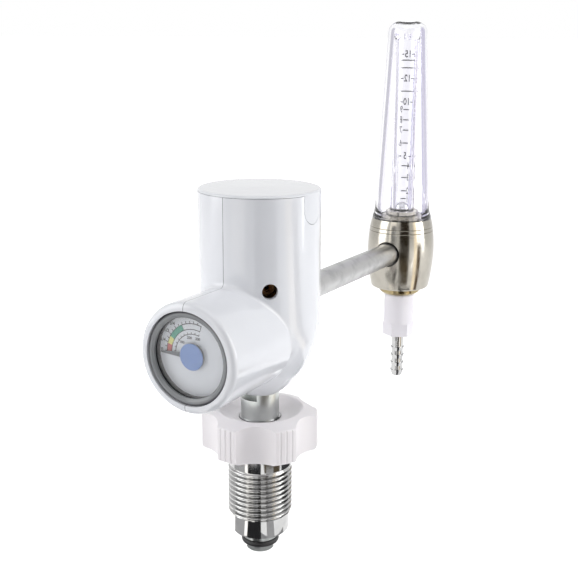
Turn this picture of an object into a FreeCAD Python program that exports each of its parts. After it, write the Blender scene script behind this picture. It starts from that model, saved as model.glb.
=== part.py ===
"""Oxygen cylinder regulator: bullnose inlet with handwheel, pressure gauge, preset piston reducer and flowmeter.

The origin is on the inlet axis at the lower end of the full inlet thread. +Z runs up the inlet and
housing axis. The gauge looks along -Y, and the flowmeter stands on a tube that leaves along +Y.
All sizes are in millimetres and live in the sheet called sizes. Heights there count from the lower
face of the threaded bush, and datum takes them to the origin.
"""
import FreeCAD, Part
import math
import os

import Sketcher
from FreeCAD import Placement, Rotation, Vector

doc = FreeCAD.newDocument("regulator")
sheet = doc.addObject("Spreadsheet::Sheet", "sizes")
nodes = []


class Size:
    """A length with its value in millimetres and the sheet expression that gives it."""

    def __init__(self, value, text):
        self.value = float(value)
        self.text = text

    def __add__(self, other):
        return join(self, other, "+", self.value + number(other))

    def __sub__(self, other):
        return join(self, other, "-", self.value - number(other))

    def __mul__(self, other):
        return join(self, other, "*", self.value * number(other))

    def __truediv__(self, other):
        return join(self, other, "/", self.value / number(other))

    def __radd__(self, other):
        return join(other, self, "+", number(other) + self.value)

    def __rsub__(self, other):
        return join(other, self, "-", number(other) - self.value)

    def __rmul__(self, other):
        return join(other, self, "*", number(other) * self.value)

    def __neg__(self):
        return Size(-self.value, "(-%s)" % self.text)


def number(value):
    """The plain number in a Size or a number."""
    return value.value if isinstance(value, Size) else float(value)


def text(value):
    """The expression text of a Size or a number."""
    return value.text if isinstance(value, Size) else repr(float(value))


def join(left, right, sign, value):
    """A Size made from two operands and the sign between them."""
    return Size(value, "(%s %s %s)" % (text(left), sign, text(right)))


def size(name, value, note):
    """Write one driving dimension to the sheet and return it."""
    size.row += 1
    sheet.set("A%d" % size.row, note)
    sheet.set("B%d" % size.row, str(value))
    sheet.setAlias("B%d" % size.row, name)
    return Size(value, "sizes." + name)


size.row = 0

fit = size("fit_gap", 0.03, "radial gap of fixed joints and static seals")
running = size("running_gap", 0.08, "radial gap of turning and sliding fits")
seam = size("seam_gap", 0.15, "gap between moulded covers and the lid")

thread_radius = size("thread_radius", 11.455, "major radius of the G 5/8 inlet thread")
thread_start = size("thread_start", 6.8, "lower end of the inlet thread")
thread_length = size("thread_length", 18.9, "length of the inlet thread")
thread_lead = size("thread_lead", 0.9, "run-in below the full thread")
neck_radius = size("neck_radius", 10.42, "plain neck under the thread")
neck_chamfer = size("neck_chamfer", 0.8, "chamfer at the foot of the bush")
bush_radius = size("bush_radius", 11.05, "plain bush above the thread")
bush_top = size("bush_top", 42.2, "upper face of the bush inside the handwheel")
stem_radius = size("stem_radius", 6.75, "inlet stem")
shoulder_radius = size("shoulder_radius", 7.9, "stem shoulder that the bush pulls up")
shoulder_low = size("shoulder_low", 1.0, "lower face of the stem shoulder")
shoulder_high = size("shoulder_high", 4.0, "upper face of the stem shoulder")
nose_radius = size("nose_radius", 6.2, "nose above its seal ring")
nose_end = size("nose_end", 8.0, "how far the nose reaches below the bush")
tip_radius = size("tip_radius", 4.95, "tip of the nose")
tip_height = size("tip_height", 2.6, "height of the nose tip")
ring_wire = size("ring_wire", 1.15, "section radius of the nose seal ring")
ring_groove = size("ring_groove", 4.5, "floor radius of the nose seal groove")
inlet_bore = size("inlet_bore", 2.4, "gas bore of the stem")
clip_low = size("clip_low", 42.3, "lower face of the retaining clip")
clip_thick = size("clip_thick", 1.0, "thickness of the retaining clip")
clip_radius = size("clip_radius", 7.3, "outer radius of the retaining clip")
clip_groove = size("clip_groove", 6.2, "floor radius of the clip groove")
flat_low = size("flat_low", 50.6, "lower end of the key flat")
flat_high = size("flat_high", 56.5, "upper end of the key flat")
flat_depth = size("flat_depth", 3.4, "key flat from the stem axis")
filter_length = size("filter_length", 9.0, "length of the inlet filter")
stem_thread = size("stem_thread", 6.0, "thread of the stem in the valve body")
stem_top = size("stem_top", 66.0, "upper end of the stem")

wheel_radius = size("wheel_radius", 20.6, "handwheel over its lobes")
wheel_low = size("wheel_low", 32.2, "lower face of the handwheel")
wheel_high = size("wheel_high", 44.9, "outer upper edge of the handwheel")
wheel_round = size("wheel_round", 1.1, "rounding of the handwheel's edges")
dish_radius = size("dish_radius", 14.6, "rim of the dished top")
dish_high = size("dish_high", 46.3, "height of the dish rim")
dish_floor = size("dish_floor", 43.4, "floor of the dish")
wheel_eye = size("wheel_eye", 7.6, "hole of the handwheel round the stem")
valley_radius = size("valley_radius", 12.0, "radius of the hollows between the lobes")
valley_depth = size("valley_depth", 3.3, "depth of the hollows between the lobes")
rib_groove = size("rib_groove", 0.55, "radius of the fine grooves on the lobes")

cover_radius = size("cover_radius", 20.8, "outside of the housing covers")
cover_wall = size("cover_wall", 2.2, "wall of the housing covers")
parting = size("parting", 0.8, "joint plane of the covers to the left of the housing axis")
cover_top = size("cover_top", 123.5, "upper edge of the housing covers")
bowl_height = size("bowl_height", 80.0, "where the housing starts to draw in")
bowl_depth = size("bowl_depth", 27.0, "depth of the rounded foot of the housing")
stem_clear = size("stem_clear", 0.45, "gap between the stem and the foot of the housing")
lid_crown = size("lid_crown", 1.3, "height of the lid above the covers")
skirt_wall = size("skirt_wall", 1.8, "wall of the lid's inner skirt")
skirt_depth = size("skirt_depth", 3.0, "depth of the lid's inner skirt")
tongue_half = size("tongue_half", 4.9, "half the width of the lid tongues")
tongue_depth = size("tongue_depth", 9.6, "depth of the lid tongues")
gauge_height = size("gauge_height", 75.9, "height of the gauge axis")
snout_radius = size("snout_radius", 18.2, "outside of the gauge shroud")
snout_face = size("snout_face", 43.0, "front of the gauge shroud from the housing axis")
snout_round = size("snout_round", 2.0, "rounding of the shroud's front edge")
blend_radius = size("blend_radius", 1.6, "rounding where the shroud leaves the housing")
boss_radius = size("boss_radius", 2.9, "screw bosses of the covers")
screw_radius = size("screw_radius", 1.1, "shank of the cover screws")
screw_head = size("screw_head", 2.2, "head of the cover screws")
screw_seat = size("screw_seat", 9.0, "seat of the screw heads from the joint plane")
screw_grip = size("screw_grip", 7.0, "length of the screws in the right cover")
screw_spread = size("screw_spread", 9.5, "cover screws above and below the gauge axis")
screw_plane = size("screw_plane", 22.0, "cover screws in front of the housing axis")

case_radius = size("case_radius", 15.3, "outside of the gauge case")
case_front = size("case_front", 42.4, "front of the gauge bezel from the housing axis")
case_depth = size("case_depth", 16.0, "depth of the gauge case")
case_wall = size("case_wall", 0.9, "wall of the gauge case")
bezel_width = size("bezel_width", 1.2, "width of the bezel ring")
bezel_depth = size("bezel_depth", 1.3, "depth of the bezel ring")
window_thick = size("window_thick", 0.8, "thickness of the gauge window")
dial_depth = size("dial_depth", 4.0, "dial face behind the front of the bezel")
dial_thick = size("dial_thick", 0.5, "thickness of the dial")
hub_radius = size("hub_radius", 4.4, "pointer hub")
cap_thick = size("cap_thick", 0.35, "thickness of the hub cap")
pointer_gap = size("pointer_gap", 0.9, "pointer in front of the dial")
arbor_radius = size("arbor_radius", 0.6, "pointer arbor")
socket_radius = size("socket_radius", 4.9, "gauge connection in the valve body")
bow_inner = size("bow_inner", 10.2, "inside of the gauge's bent tube")
bow_outer = size("bow_outer", 12.0, "outside of the gauge's bent tube")
bow_gap = size("bow_gap", 3.0, "bent tube in front of the back of the case")
bow_width = size("bow_width", 4.0, "width of the bent tube")

body_radius = size("body_radius", 14.3, "brass valve body")
body_low = size("body_low", 57.5, "lower face of the valve body")
body_neck = size("body_neck", 8.5, "foot of the valve body")
neck_rise = size("neck_rise", 4.5, "height of that foot")
shoulder_rise = size("shoulder_rise", 9.5, "full width of the valve body above its lower face")
body_top = size("body_top", 103.5, "upper end of the valve body")
bonnet_low = size("bonnet_low", 98.5, "seat of the bonnet on the valve body")
bonnet_screw = size("bonnet_screw", 13.0, "thread of the bonnet")
bonnet_radius = size("bonnet_radius", 16.0, "outside of the bonnet")
bonnet_top = size("bonnet_top", 119.0, "upper face of the bonnet")
bonnet_bore = size("bonnet_bore", 11.4, "spring chamber of the bonnet")
piston_bore = size("piston_bore", 10.5, "bore of the piston")
chamber_low = size("chamber_low", 80.5, "floor of the low pressure chamber")
piston_low = size("piston_low", 96.5, "underside of the piston head")
piston_thick = size("piston_thick", 4.6, "height of the piston head")
piston_ring = size("piston_ring", 0.9, "section radius of the piston seal")
spring_seat = size("spring_seat", 113.0, "underside of the spring plate")
spring_radius = size("spring_radius", 7.4, "mean radius of the main spring")
spring_wire = size("spring_wire", 0.9, "wire radius of the main spring")
pressure_bore = size("pressure_bore", 5.0, "high pressure chamber")
seat_low = size("seat_low", 76.5, "lower face of the valve seat")
lift = size("valve_lift", 0.8, "travel of the valve")
relief_drop = size("relief_drop", 5.1, "relief valve below the seat of the bonnet")
relief_radius = size("relief_radius", 2.3, "relief valve cartridge")
relief_stand = size("relief_stand", 1.5, "how far the cartridge stands out of the valve body")
relief_hole = size("relief_hole", 2.6, "hole in the cover over the relief valve")

tube_height = size("tube_height", 82.3, "height of the outlet tube")
tube_radius = size("tube_radius", 4.75, "outlet tube")
tube_bore = size("tube_bore", 3.4, "bore of the outlet tube")
tube_start = size("tube_start", 12.6, "end of the outlet tube in the valve body")
tube_sink = size("tube_sink", 9.2, "end of the outlet tube from the flowmeter axis")
tube_hole = size("tube_hole", 5.3, "hole of the covers round the outlet tube")
port_face = size("port_face", 16.6, "face of the outlet boss of the valve body")
port_radius = size("port_radius", 7.2, "outlet boss of the valve body")

flow_axis = size("flow_axis", 116.6, "flowmeter axis from the housing axis")
barrel_low = size("barrel_low", 66.0, "lower face of the flowmeter block")
barrel_top = size("barrel_top", 96.4, "upper face of the flowmeter block")
barrel_belly = size("barrel_belly", 14.5, "widest radius of the flowmeter block")
barrel_foot = size("barrel_foot", 12.7, "radius at the foot of the block")
barrel_neck = size("barrel_neck", 12.8, "radius at the top of the block")
groove_drop = size("groove_drop", 5.2, "lower line groove below the top of the block")
groove_space = size("groove_space", 1.65, "space between the line grooves")
recess_radius = size("recess_radius", 10.2, "recess in the top of the block")
recess_floor = size("recess_floor", 91.5, "floor of that recess")
flange_radius = size("flange_radius", 12.7, "flange of the clear cover")
flange_top = size("flange_top", 101.4, "upper edge of the clear flange")
dome_base = size("dome_base", 11.75, "outside of the clear cover above its flange")
dome_tip = size("dome_tip", 8.1, "outside of the clear cover at its shoulder")
dome_top = size("dome_top", 179.4, "top of the clear cover")
dome_round = size("dome_round", 4.4, "rounding of the clear cover's shoulder")
dome_wall = size("dome_wall", 2.1, "wall of the clear cover")
glass_radius = size("glass_radius", 5.2, "outside of the flow tube")
glass_low = size("glass_low", 97.6, "lower end of the flow tube")
glass_top = size("glass_top", 172.0, "upper end of the flow tube")
glass_bore = size("glass_bore", 3.1, "bore at the foot of the flow tube")
glass_wide = size("glass_wide", 3.8, "bore at the head of the flow tube")
ball_radius = size("ball_radius", 2.9, "float ball")
cone_radius = size("cone_radius", 9.3, "seat disc under the flow tube")
outlet_radius = size("outlet_radius", 8.8, "lock ring under the block")
outlet_low = size("outlet_low", 63.0, "lower face of the lock ring")
nut_radius = size("nut_radius", 6.6, "round part of the outlet nut")
nut_step = size("nut_step", 49.0, "step between the nut's round and hexagon")
nut_low = size("nut_low", 43.4, "lower face of the outlet nut")
nut_corner = size("nut_corner", 6.9, "hexagon over its corners, as a radius")
barb_radius = size("barb_radius", 2.65, "shank of the hose barb")
barb_ridge = size("barb_ridge", 0.45, "height of the barb's ridges")
barb_pitch = size("barb_pitch", 3.6, "spacing of the ridges")
barb_low = size("barb_low", 24.0, "lower end of the hose barb")
barb_bore = size("barb_bore", 1.5, "bore of the hose barb")
stub_radius = size("stub_radius", 4.6, "threaded stub inside the outlet nut")
stub_low = size("stub_low", 54.0, "lower face of the stub")
knob_radius = size("knob_radius", 6.3, "flow knob")
knob_start = size("knob_start", 15.2, "near face of the knob from the flowmeter axis")
knob_length = size("knob_length", 5.2, "length of the flow knob")
gland_radius = size("gland_radius", 4.2, "gland of the needle valve")
needle_radius = size("needle_radius", 1.4, "needle of the flow valve")

relief_turn = 41.5
flat_turn = -127.0
wheel_turn = -2.0
datum = thread_start + thread_lead
relief_height = bonnet_low - relief_drop
groove_height = barrel_top - groove_drop
EAST, NORTH, WEST, SOUTH = (1, 0), (0, 1), (-1, 0), (0, -1)
UP = Rotation()
DOWN = Rotation(Vector(1, 0, 0), 180)
FRONT = Rotation(Vector(1, 0, 0), 90)
BACK = Rotation(Vector(1, 0, 0), -90)
RIGHT = Rotation(Vector(0, 1, 0), 90)
LEFT = Rotation(Vector(0, 1, 0), -90)


def place(item, at, turn=UP):
    """Put an object at a point whose parts may be Sizes, turned by a fixed rotation."""
    item.Placement = Placement(Vector(*[number(part) for part in at]), turn)
    for letter, part in zip("xyz", at):
        if isinstance(part, Size):
            item.setExpression("Placement.Base." + letter, part.text)
    return item


def root(value):
    """The square root of a Size."""
    return Size(math.sqrt(value.value), "sqrt(%s)" % value.text)


def bowl(wide, narrow, low, high):
    """The arc that draws in from an upright wall at (wide, high) to (narrow, low)."""
    run, rise = wide - narrow, high - low
    swing = (run * run + rise * rise) / (2.0 * run)
    middle = wide - swing + root(swing * swing - rise * rise / 4.0)
    return (wide, high, middle, (low + high) / 2.0)


def corner(x, y, radius, come, go):
    """The two outline points of a rounded corner, from the directions of travel before and after it."""
    bulge = radius * (1 - math.sqrt(0.5))
    return [(x - radius * come[0], y - radius * come[1]),
            (x + radius * go[0], y + radius * go[1],
             x + bulge * (go[0] - come[0]), y + bulge * (go[1] - come[1]))]


def seated(at):
    """A point of the sheet's heights as a point of the part's frame."""
    return (at[0], at[1], at[2] - datum)


def new_body(label, at=(0, 0, 0), turn=UP, node=True):
    """An empty body that becomes one node, or one solid of a group."""
    body = doc.addObject("PartDesign::Body", label)
    body.Label = label
    place(body, seated(at), turn)
    if node:
        nodes.append(body)
    return body


def origin_item(body, role):
    """One of the body's own origin planes or axes."""
    return [item for item in body.Origin.OriginFeatures if item.Role == role][0]


def outline(body, name, points, plane="XZ_Plane"):
    """A closed sketch through points, each (x, y), or (x, y, via_x, via_y) for an arc through a point."""
    sketch = body.newObject("Sketcher::SketchObject", name)
    sketch.AttachmentSupport = (origin_item(body, plane), [""])
    sketch.MapMode = "FlatFace"
    flat = [Vector(number(p[0]), number(p[1]), 0) for p in points]
    marks = []
    for index, point in enumerate(points):
        start, end = flat[index - 1], flat[index]
        if len(point) == 4:
            via = Vector(number(point[2]), number(point[3]), 0)
            arc = Part.ArcOfCircle(start, via, end)
            flipped = arc.Axis.z < 0
            first = math.atan2(start.y - arc.Center.y, start.x - arc.Center.x)
            last = math.atan2(end.y - arc.Center.y, end.x - arc.Center.x)
            plain = Part.Circle(arc.Center, Vector(0, 0, 1), arc.Radius)
            span = (last, first) if flipped else (first, last)
            edge = sketch.addGeometry(Part.ArcOfCircle(plain, span[0], span[1]), False)
            ends = (2, 1) if flipped else (1, 2)
            dot = sketch.addGeometry(Part.Point(via), True)
            fix_point(sketch, dot, 1, point[2], point[3])
            sketch.addConstraint(Sketcher.Constraint("PointOnObject", dot, 1, edge))
        else:
            edge = sketch.addGeometry(Part.LineSegment(start, end), False)
            ends = (1, 2)
        marks.append((edge, ends))
    for index, point in enumerate(points):
        edge, ends = marks[index]
        following, next_ends = marks[(index + 1) % len(marks)]
        sketch.addConstraint(Sketcher.Constraint("Coincident", edge, ends[1], following, next_ends[0]))
        fix_point(sketch, edge, ends[1], point[0], point[1])
    return sketch


def fix_point(sketch, geometry, end, x, y):
    """Tie one sketch point to its two coordinates."""
    for kind, value in (("DistanceX", x), ("DistanceY", y)):
        row = sketch.addConstraint(Sketcher.Constraint(kind, -1, 1, geometry, end, number(value)))
        if isinstance(value, Size):
            sketch.setExpression("Constraints[%d]" % row, value.text)


def turn_solid(body, points, angle=360.0):
    """Revolve an outline of (radius, height) points round the body's Z axis."""
    sketch = outline(body, body.Label + "_outline", points)
    feature = body.newObject("PartDesign::Revolution", body.Label + "_turned")
    feature.Profile = sketch
    feature.ReferenceAxis = (sketch, ["V_Axis"])
    feature.Angle = angle
    return feature


def turned(label, points, at=(0, 0, 0), turn=UP, angle=360.0):
    """A body turned from one outline."""
    body = new_body(label, at, turn)
    turn_solid(body, points, angle)
    return body


def primitive(body, kind, name, at, turn, **sizes):
    """A primitive feature of a body, with its sizes tied to the sheet."""
    feature = body.newObject("PartDesign::" + kind, body.Label + "_" + name)
    for key, value in sizes.items():
        setattr(feature, key, value if isinstance(value, int) else number(value))
        if isinstance(value, Size):
            feature.setExpression(key, value.text)
    place(feature, at, turn)
    return feature


def drill(body, name, radius, length, at=(0, 0, 0), turn=UP):
    """Cut a round hole."""
    return primitive(body, "SubtractiveCylinder", name, at, turn, Radius=radius, Height=length)


def stud(body, name, radius, length, at=(0, 0, 0), turn=UP):
    """Add a round boss."""
    return primitive(body, "AdditiveCylinder", name, at, turn, Radius=radius, Height=length)


def block(body, kind, name, width, depth, height, at):
    """Add or cut a box."""
    return primitive(body, kind + "Box", name, at, UP, Length=width, Width=depth, Height=height)


def groove(body, name, points):
    """Cut an outline revolved round the body's Z axis."""
    sketch = outline(body, body.Label + "_" + name, points)
    feature = body.newObject("PartDesign::Groove", body.Label + "_" + name + "_cut")
    feature.Profile = sketch
    feature.ReferenceAxis = (sketch, ["V_Axis"])
    feature.Angle = 360.0
    return feature


def around(body, features, count, name="ring"):
    """Repeat features round the body's Z axis."""
    pattern = body.newObject("PartDesign::PolarPattern", body.Label + "_" + name)
    pattern.Originals = features
    pattern.Axis = (origin_item(body, "Z_Axis"), [""])
    pattern.Angle = 360.0
    pattern.Occurrences = count
    body.Tip = pattern
    return pattern


def meets_shroud(edge):
    """Whether an edge is the curve where the shroud leaves the housing."""
    if edge.Curve.TypeId == "Part::GeomLine" or edge.BoundBox.YMin < -cover_radius.value - 0.5:
        return False
    middle = edge.valueAt((edge.FirstParameter + edge.LastParameter) / 2.0)
    off_axis = math.hypot(middle.x, middle.z - gauge_height.value)
    return middle.y < 0 and abs(off_axis - snout_radius.value) < 0.01


def round_edges(body, name, radius, wanted):
    """Fillet those edges of the body's last feature that a test picks."""
    doc.recompute()
    base = body.Tip
    picked = ["Edge%d" % (index + 1) for index, edge in enumerate(base.Shape.Edges) if wanted(edge)]
    feature = body.newObject("PartDesign::Fillet", body.Label + "_" + name)
    feature.Base = (base, picked)
    feature.Radius = number(radius)
    if isinstance(radius, Size):
        feature.setExpression("Radius", radius.text)
    return feature


def seal_ring(label, radius, section, at=(0, 0, 0), turn=UP):
    """A round-section seal ring."""
    ring = doc.addObject("Part::Torus", label)
    ring.Label = label
    for key, value in (("Radius1", radius), ("Radius2", section)):
        setattr(ring, key, number(value))
        if isinstance(value, Size):
            ring.setExpression(key, value.text)
    place(ring, seated(at), turn)
    nodes.append(ring)
    return ring


def coil(label, radius, wire, low, high, turns):
    """A compression spring with its wire's outside between two heights."""
    height = number(high) - number(low) - 2 * number(wire)
    path = Part.makeHelix(height / turns, height, number(radius))
    section = Part.makeCircle(number(wire), Vector(number(radius), 0, 0), Vector(0, 1, 0))
    spring = doc.addObject("Part::Feature", label)
    spring.Label = label
    spring.Shape = Part.Wire(path.Edges).makePipeShell([Part.Wire([section])], True, True)
    place(spring, seated((0, 0, low + wire)))
    nodes.append(spring)
    return spring


def inlet():
    """Bush, stem, nose seal, clip and handwheel."""
    bore = stem_radius + running
    thread_end = thread_start + thread_length
    turned("threaded_bush", [
        (shoulder_radius + running, 0.0), (neck_radius - neck_chamfer * 0.75, 0.0),
        (neck_radius, neck_chamfer), (neck_radius, thread_start),
        (thread_radius, thread_start + thread_lead), (thread_radius, thread_end - 0.4),
        (bush_radius, thread_end), (bush_radius, bush_top), (bore, bush_top),
        (bore, shoulder_high + running), (shoulder_radius + running, shoulder_high + running)])
    groove_top = tip_height - nose_end + 2 * ring_wire + 0.1
    stem = turned("inlet_stem", [
        (inlet_bore, -nose_end), (tip_radius - 0.5, -nose_end), (tip_radius, 0.5 - nose_end),
        (tip_radius, tip_height - nose_end), (ring_groove, tip_height - nose_end),
        (ring_groove, groove_top), (nose_radius, groove_top), (nose_radius, shoulder_low - 0.5),
        (shoulder_radius, shoulder_low), (shoulder_radius, shoulder_high), (stem_radius, shoulder_high),
        (stem_radius, clip_low), (clip_groove, clip_low), (clip_groove, clip_low + clip_thick),
        (stem_radius, clip_low + clip_thick), (stem_radius, flat_high), (stem_thread, flat_high),
        (stem_thread, stem_top), (inlet_bore, stem_top)])
    along = Vector(math.cos(math.radians(flat_turn)), math.sin(math.radians(flat_turn)), 0)
    primitive(stem, "SubtractiveBox", "key_flat",
              (flat_depth * along.x + stem_radius * along.y, flat_depth * along.y - stem_radius * along.x, flat_low),
              Rotation(Vector(0, 0, 1), flat_turn),
              Length=stem_radius, Width=2 * stem_radius, Height=flat_high - flat_low)
    seal_ring("nose_seal", ring_groove + ring_wire, ring_wire,
              (0, 0, tip_height - nose_end + ring_wire + 0.05))
    clip = turned("retaining_clip", [
        (clip_groove + fit, clip_low), (clip_radius, clip_low),
        (clip_radius, clip_low + clip_thick), (clip_groove + fit, clip_low + clip_thick)])
    block(clip, "Subtractive", "mouth", clip_radius, 3.0, clip_thick, (0, -1.5, clip_low))
    filter_radius = inlet_bore - fit
    turned("inlet_filter", [(0.0, shoulder_high), (filter_radius, shoulder_high),
                            (filter_radius, shoulder_high + filter_length), (0.0, shoulder_high + filter_length)])
    wheel = turned("handwheel", [
        (bush_radius + fit, wheel_low), *corner(wheel_radius, wheel_low, wheel_round, EAST, NORTH),
        *corner(wheel_radius, wheel_high, wheel_round, NORTH, WEST),
        (dish_radius + 0.7, dish_high), (dish_radius, dish_high - 0.2),
        (wheel_eye + 1.2, dish_floor, dish_radius - 2.6, dish_floor + 0.75),
        (wheel_eye, dish_floor - 0.3), (wheel_eye, bush_top), (bush_radius + fit, bush_top)])
    tall = dish_high - wheel_low
    valley = drill(wheel, "valley", valley_radius, tall,
                   (wheel_radius + valley_radius - valley_depth, 0, wheel_low))
    around(wheel, [valley], 6, "valleys")
    cuts = []
    for index, angle in enumerate((24.0, 30.0, 36.0)):
        spot = Vector(math.cos(math.radians(angle)), math.sin(math.radians(angle)), 0)
        cuts.append(drill(wheel, "rib%d" % index, rib_groove, tall,
                          ((wheel_radius + rib_groove * 0.45) * spot.x,
                           (wheel_radius + rib_groove * 0.45) * spot.y, wheel_low)))
    around(wheel, cuts, 6, "ribs")
    wheel.Placement.Rotation = Rotation(Vector(0, 0, 1), wheel_turn)


def housing():
    """The two cover halves, their screws and the lid."""
    for label, side in (("cover_right", 1), ("cover_left", -1)):
        cover_half(label, side)
    lid_half = cover_radius - cover_wall - seam
    lid = turned("top_lid", [
        (0.0, cover_top + seam), (lid_half - skirt_wall, cover_top + seam),
        (lid_half - skirt_wall, cover_top - skirt_depth), (lid_half, cover_top - skirt_depth),
        (lid_half, cover_top + seam), (cover_radius, cover_top + seam),
        (cover_radius - 1.1, cover_top + lid_crown * 0.72,
         cover_radius - 0.32, cover_top + seam + lid_crown * 0.42),
        (0.0, cover_top + lid_crown)])
    lid_tongues(lid)
    pair = doc.addObject("Part::Compound", "cover_screws")
    pair.Label = "cover_screws"
    pair.Links = [cover_screw("upper_screw", gauge_height + screw_spread),
                  cover_screw("lower_screw", gauge_height - screw_spread)]
    nodes.append(pair)


def cover_screw(label, height):
    """One pan-head screw, its head away from the joint plane."""
    body = new_body(label, (0, -screw_plane, height), LEFT, False)
    seat = screw_seat
    turn_solid(body, [(0.0, -screw_grip), (screw_radius - 0.4, -screw_grip),
                      (screw_radius, 0.8 - screw_grip), (screw_radius, seat),
                      (screw_head, seat), (screw_head, seat + 0.9),
                      (screw_head - 0.9, seat + 1.6, screw_head - 0.27, seat + 1.33), (0.0, seat + 1.6)])
    block(body, "Subtractive", "slot", 2 * screw_head, 0.6, 1.0, (-screw_head, -0.3, seat + 0.9))
    return body


def cover_half(label, side):
    """One half of the housing: a shell cut on a plane beside that of the inlet and gauge axes."""
    body = new_body(label)
    foot = bowl_height - bowl_depth
    eye = stem_radius + stem_clear
    turn_solid(body, [
        (0.0, foot), (eye, foot), bowl(cover_radius, eye, foot, bowl_height),
        (cover_radius, cover_top), (0.0, cover_top)])
    stud(body, "shroud", snout_radius, snout_face, (0, 0, gauge_height), FRONT)
    face = -snout_face.value
    round_edges(body, "rim", snout_round, lambda edge: edge.BoundBox.YMax < face + 0.01)
    round_edges(body, "blend", blend_radius, meets_shroud)
    inside = cover_radius - cover_wall
    groove(body, "cavity", [
        (0.0, foot + cover_wall), (eye, foot + cover_wall),
        bowl(inside, eye, foot + cover_wall, bowl_height), (inside, cover_top), (0.0, cover_top)])
    bore = case_radius + 4 * fit
    drill(body, "shroud_bore", bore, snout_face, (0, 0, gauge_height), FRONT)
    drill(body, "stem_eye", eye, bowl_depth, (0, 0, foot))
    drill(body, "tube_eye", tube_hole, cover_radius + 2.0, (0, 0, tube_height), BACK)
    if side > 0:
        direction = Rotation(Vector(0, 0, 1), relief_turn) * FRONT
        drill(body, "relief_eye", relief_hole, cover_radius + 2.0, (0, 0, relief_height), direction)
    notch(body, side)
    cover_bosses(body, side)
    far = snout_face + cover_radius
    block(body, "Subtractive", "half", far, 2 * far, 2 * cover_top,
          (-far - parting if side > 0 else -parting, -far, -cover_top))
    return body


def notch(body, side):
    """The round-ended notch at the top edge that takes a lid tongue."""
    half = tongue_half + seam
    bottom = cover_top - tongue_depth - seam + half
    start = 0 if side > 0 else -cover_radius - 1.0
    block(body, "Subtractive", "notch", cover_radius + 1.0, 2 * half, cover_top - bottom,
          (start, -half, bottom))
    drill(body, "notch_end", half, cover_radius + 1.0, (0, 0, bottom), RIGHT if side > 0 else LEFT)


def lid_tongues(lid):
    """Two round-ended tongues that run down from the lid and lie flush in the covers."""
    base = cover_top - tongue_depth + tongue_half
    inner = cover_radius - cover_wall
    for name, side in (("right", 1), ("left", -1)):
        start = 0 if side > 0 else -cover_radius
        block(lid, "Additive", name, cover_radius, 2 * tongue_half, cover_top + seam - base,
              (start, -tongue_half, base))
        stud(lid, name + "_end", tongue_half, cover_radius, (0, 0, base), RIGHT if side > 0 else LEFT)
    far = 2 * cover_radius
    groove(lid, "trim", [(cover_radius, cover_top - far), (far, cover_top - far),
                         (far, cover_top + seam), (cover_radius, cover_top + seam)])
    groove(lid, "hollow", [
        (0.0, cover_top - far), (inner, cover_top - far), (inner, cover_top - skirt_depth),
        (inner - seam - skirt_wall, cover_top - skirt_depth), (inner - seam - skirt_wall, cover_top + seam),
        (0.0, cover_top + seam)])


def cover_bosses(body, side):
    """Two screw bosses inside the shroud, behind the gauge case."""
    for name, sign in (("upper", 1), ("lower", -1)):
        height = gauge_height + screw_spread if sign > 0 else gauge_height - screw_spread
        turn = RIGHT if side > 0 else LEFT
        reach = screw_spread + boss_radius
        depth = root(snout_radius * snout_radius - reach * reach) - 0.3 + parting
        start = (-parting if side > 0 else parting, -screw_plane, height)
        stud(body, name + "_boss", boss_radius, depth, start, turn)
        if side > 0:
            drill(body, name + "_pilot", screw_radius + fit, screw_grip + parting + 1.0, start, turn)
        else:
            drill(body, name + "_clear", screw_radius + fit, snout_radius, (0, -screw_plane, height), turn)
            drill(body, name + "_sink", screw_head + seam, snout_radius,
                  (-screw_seat, -screw_plane, height), turn)


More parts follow.
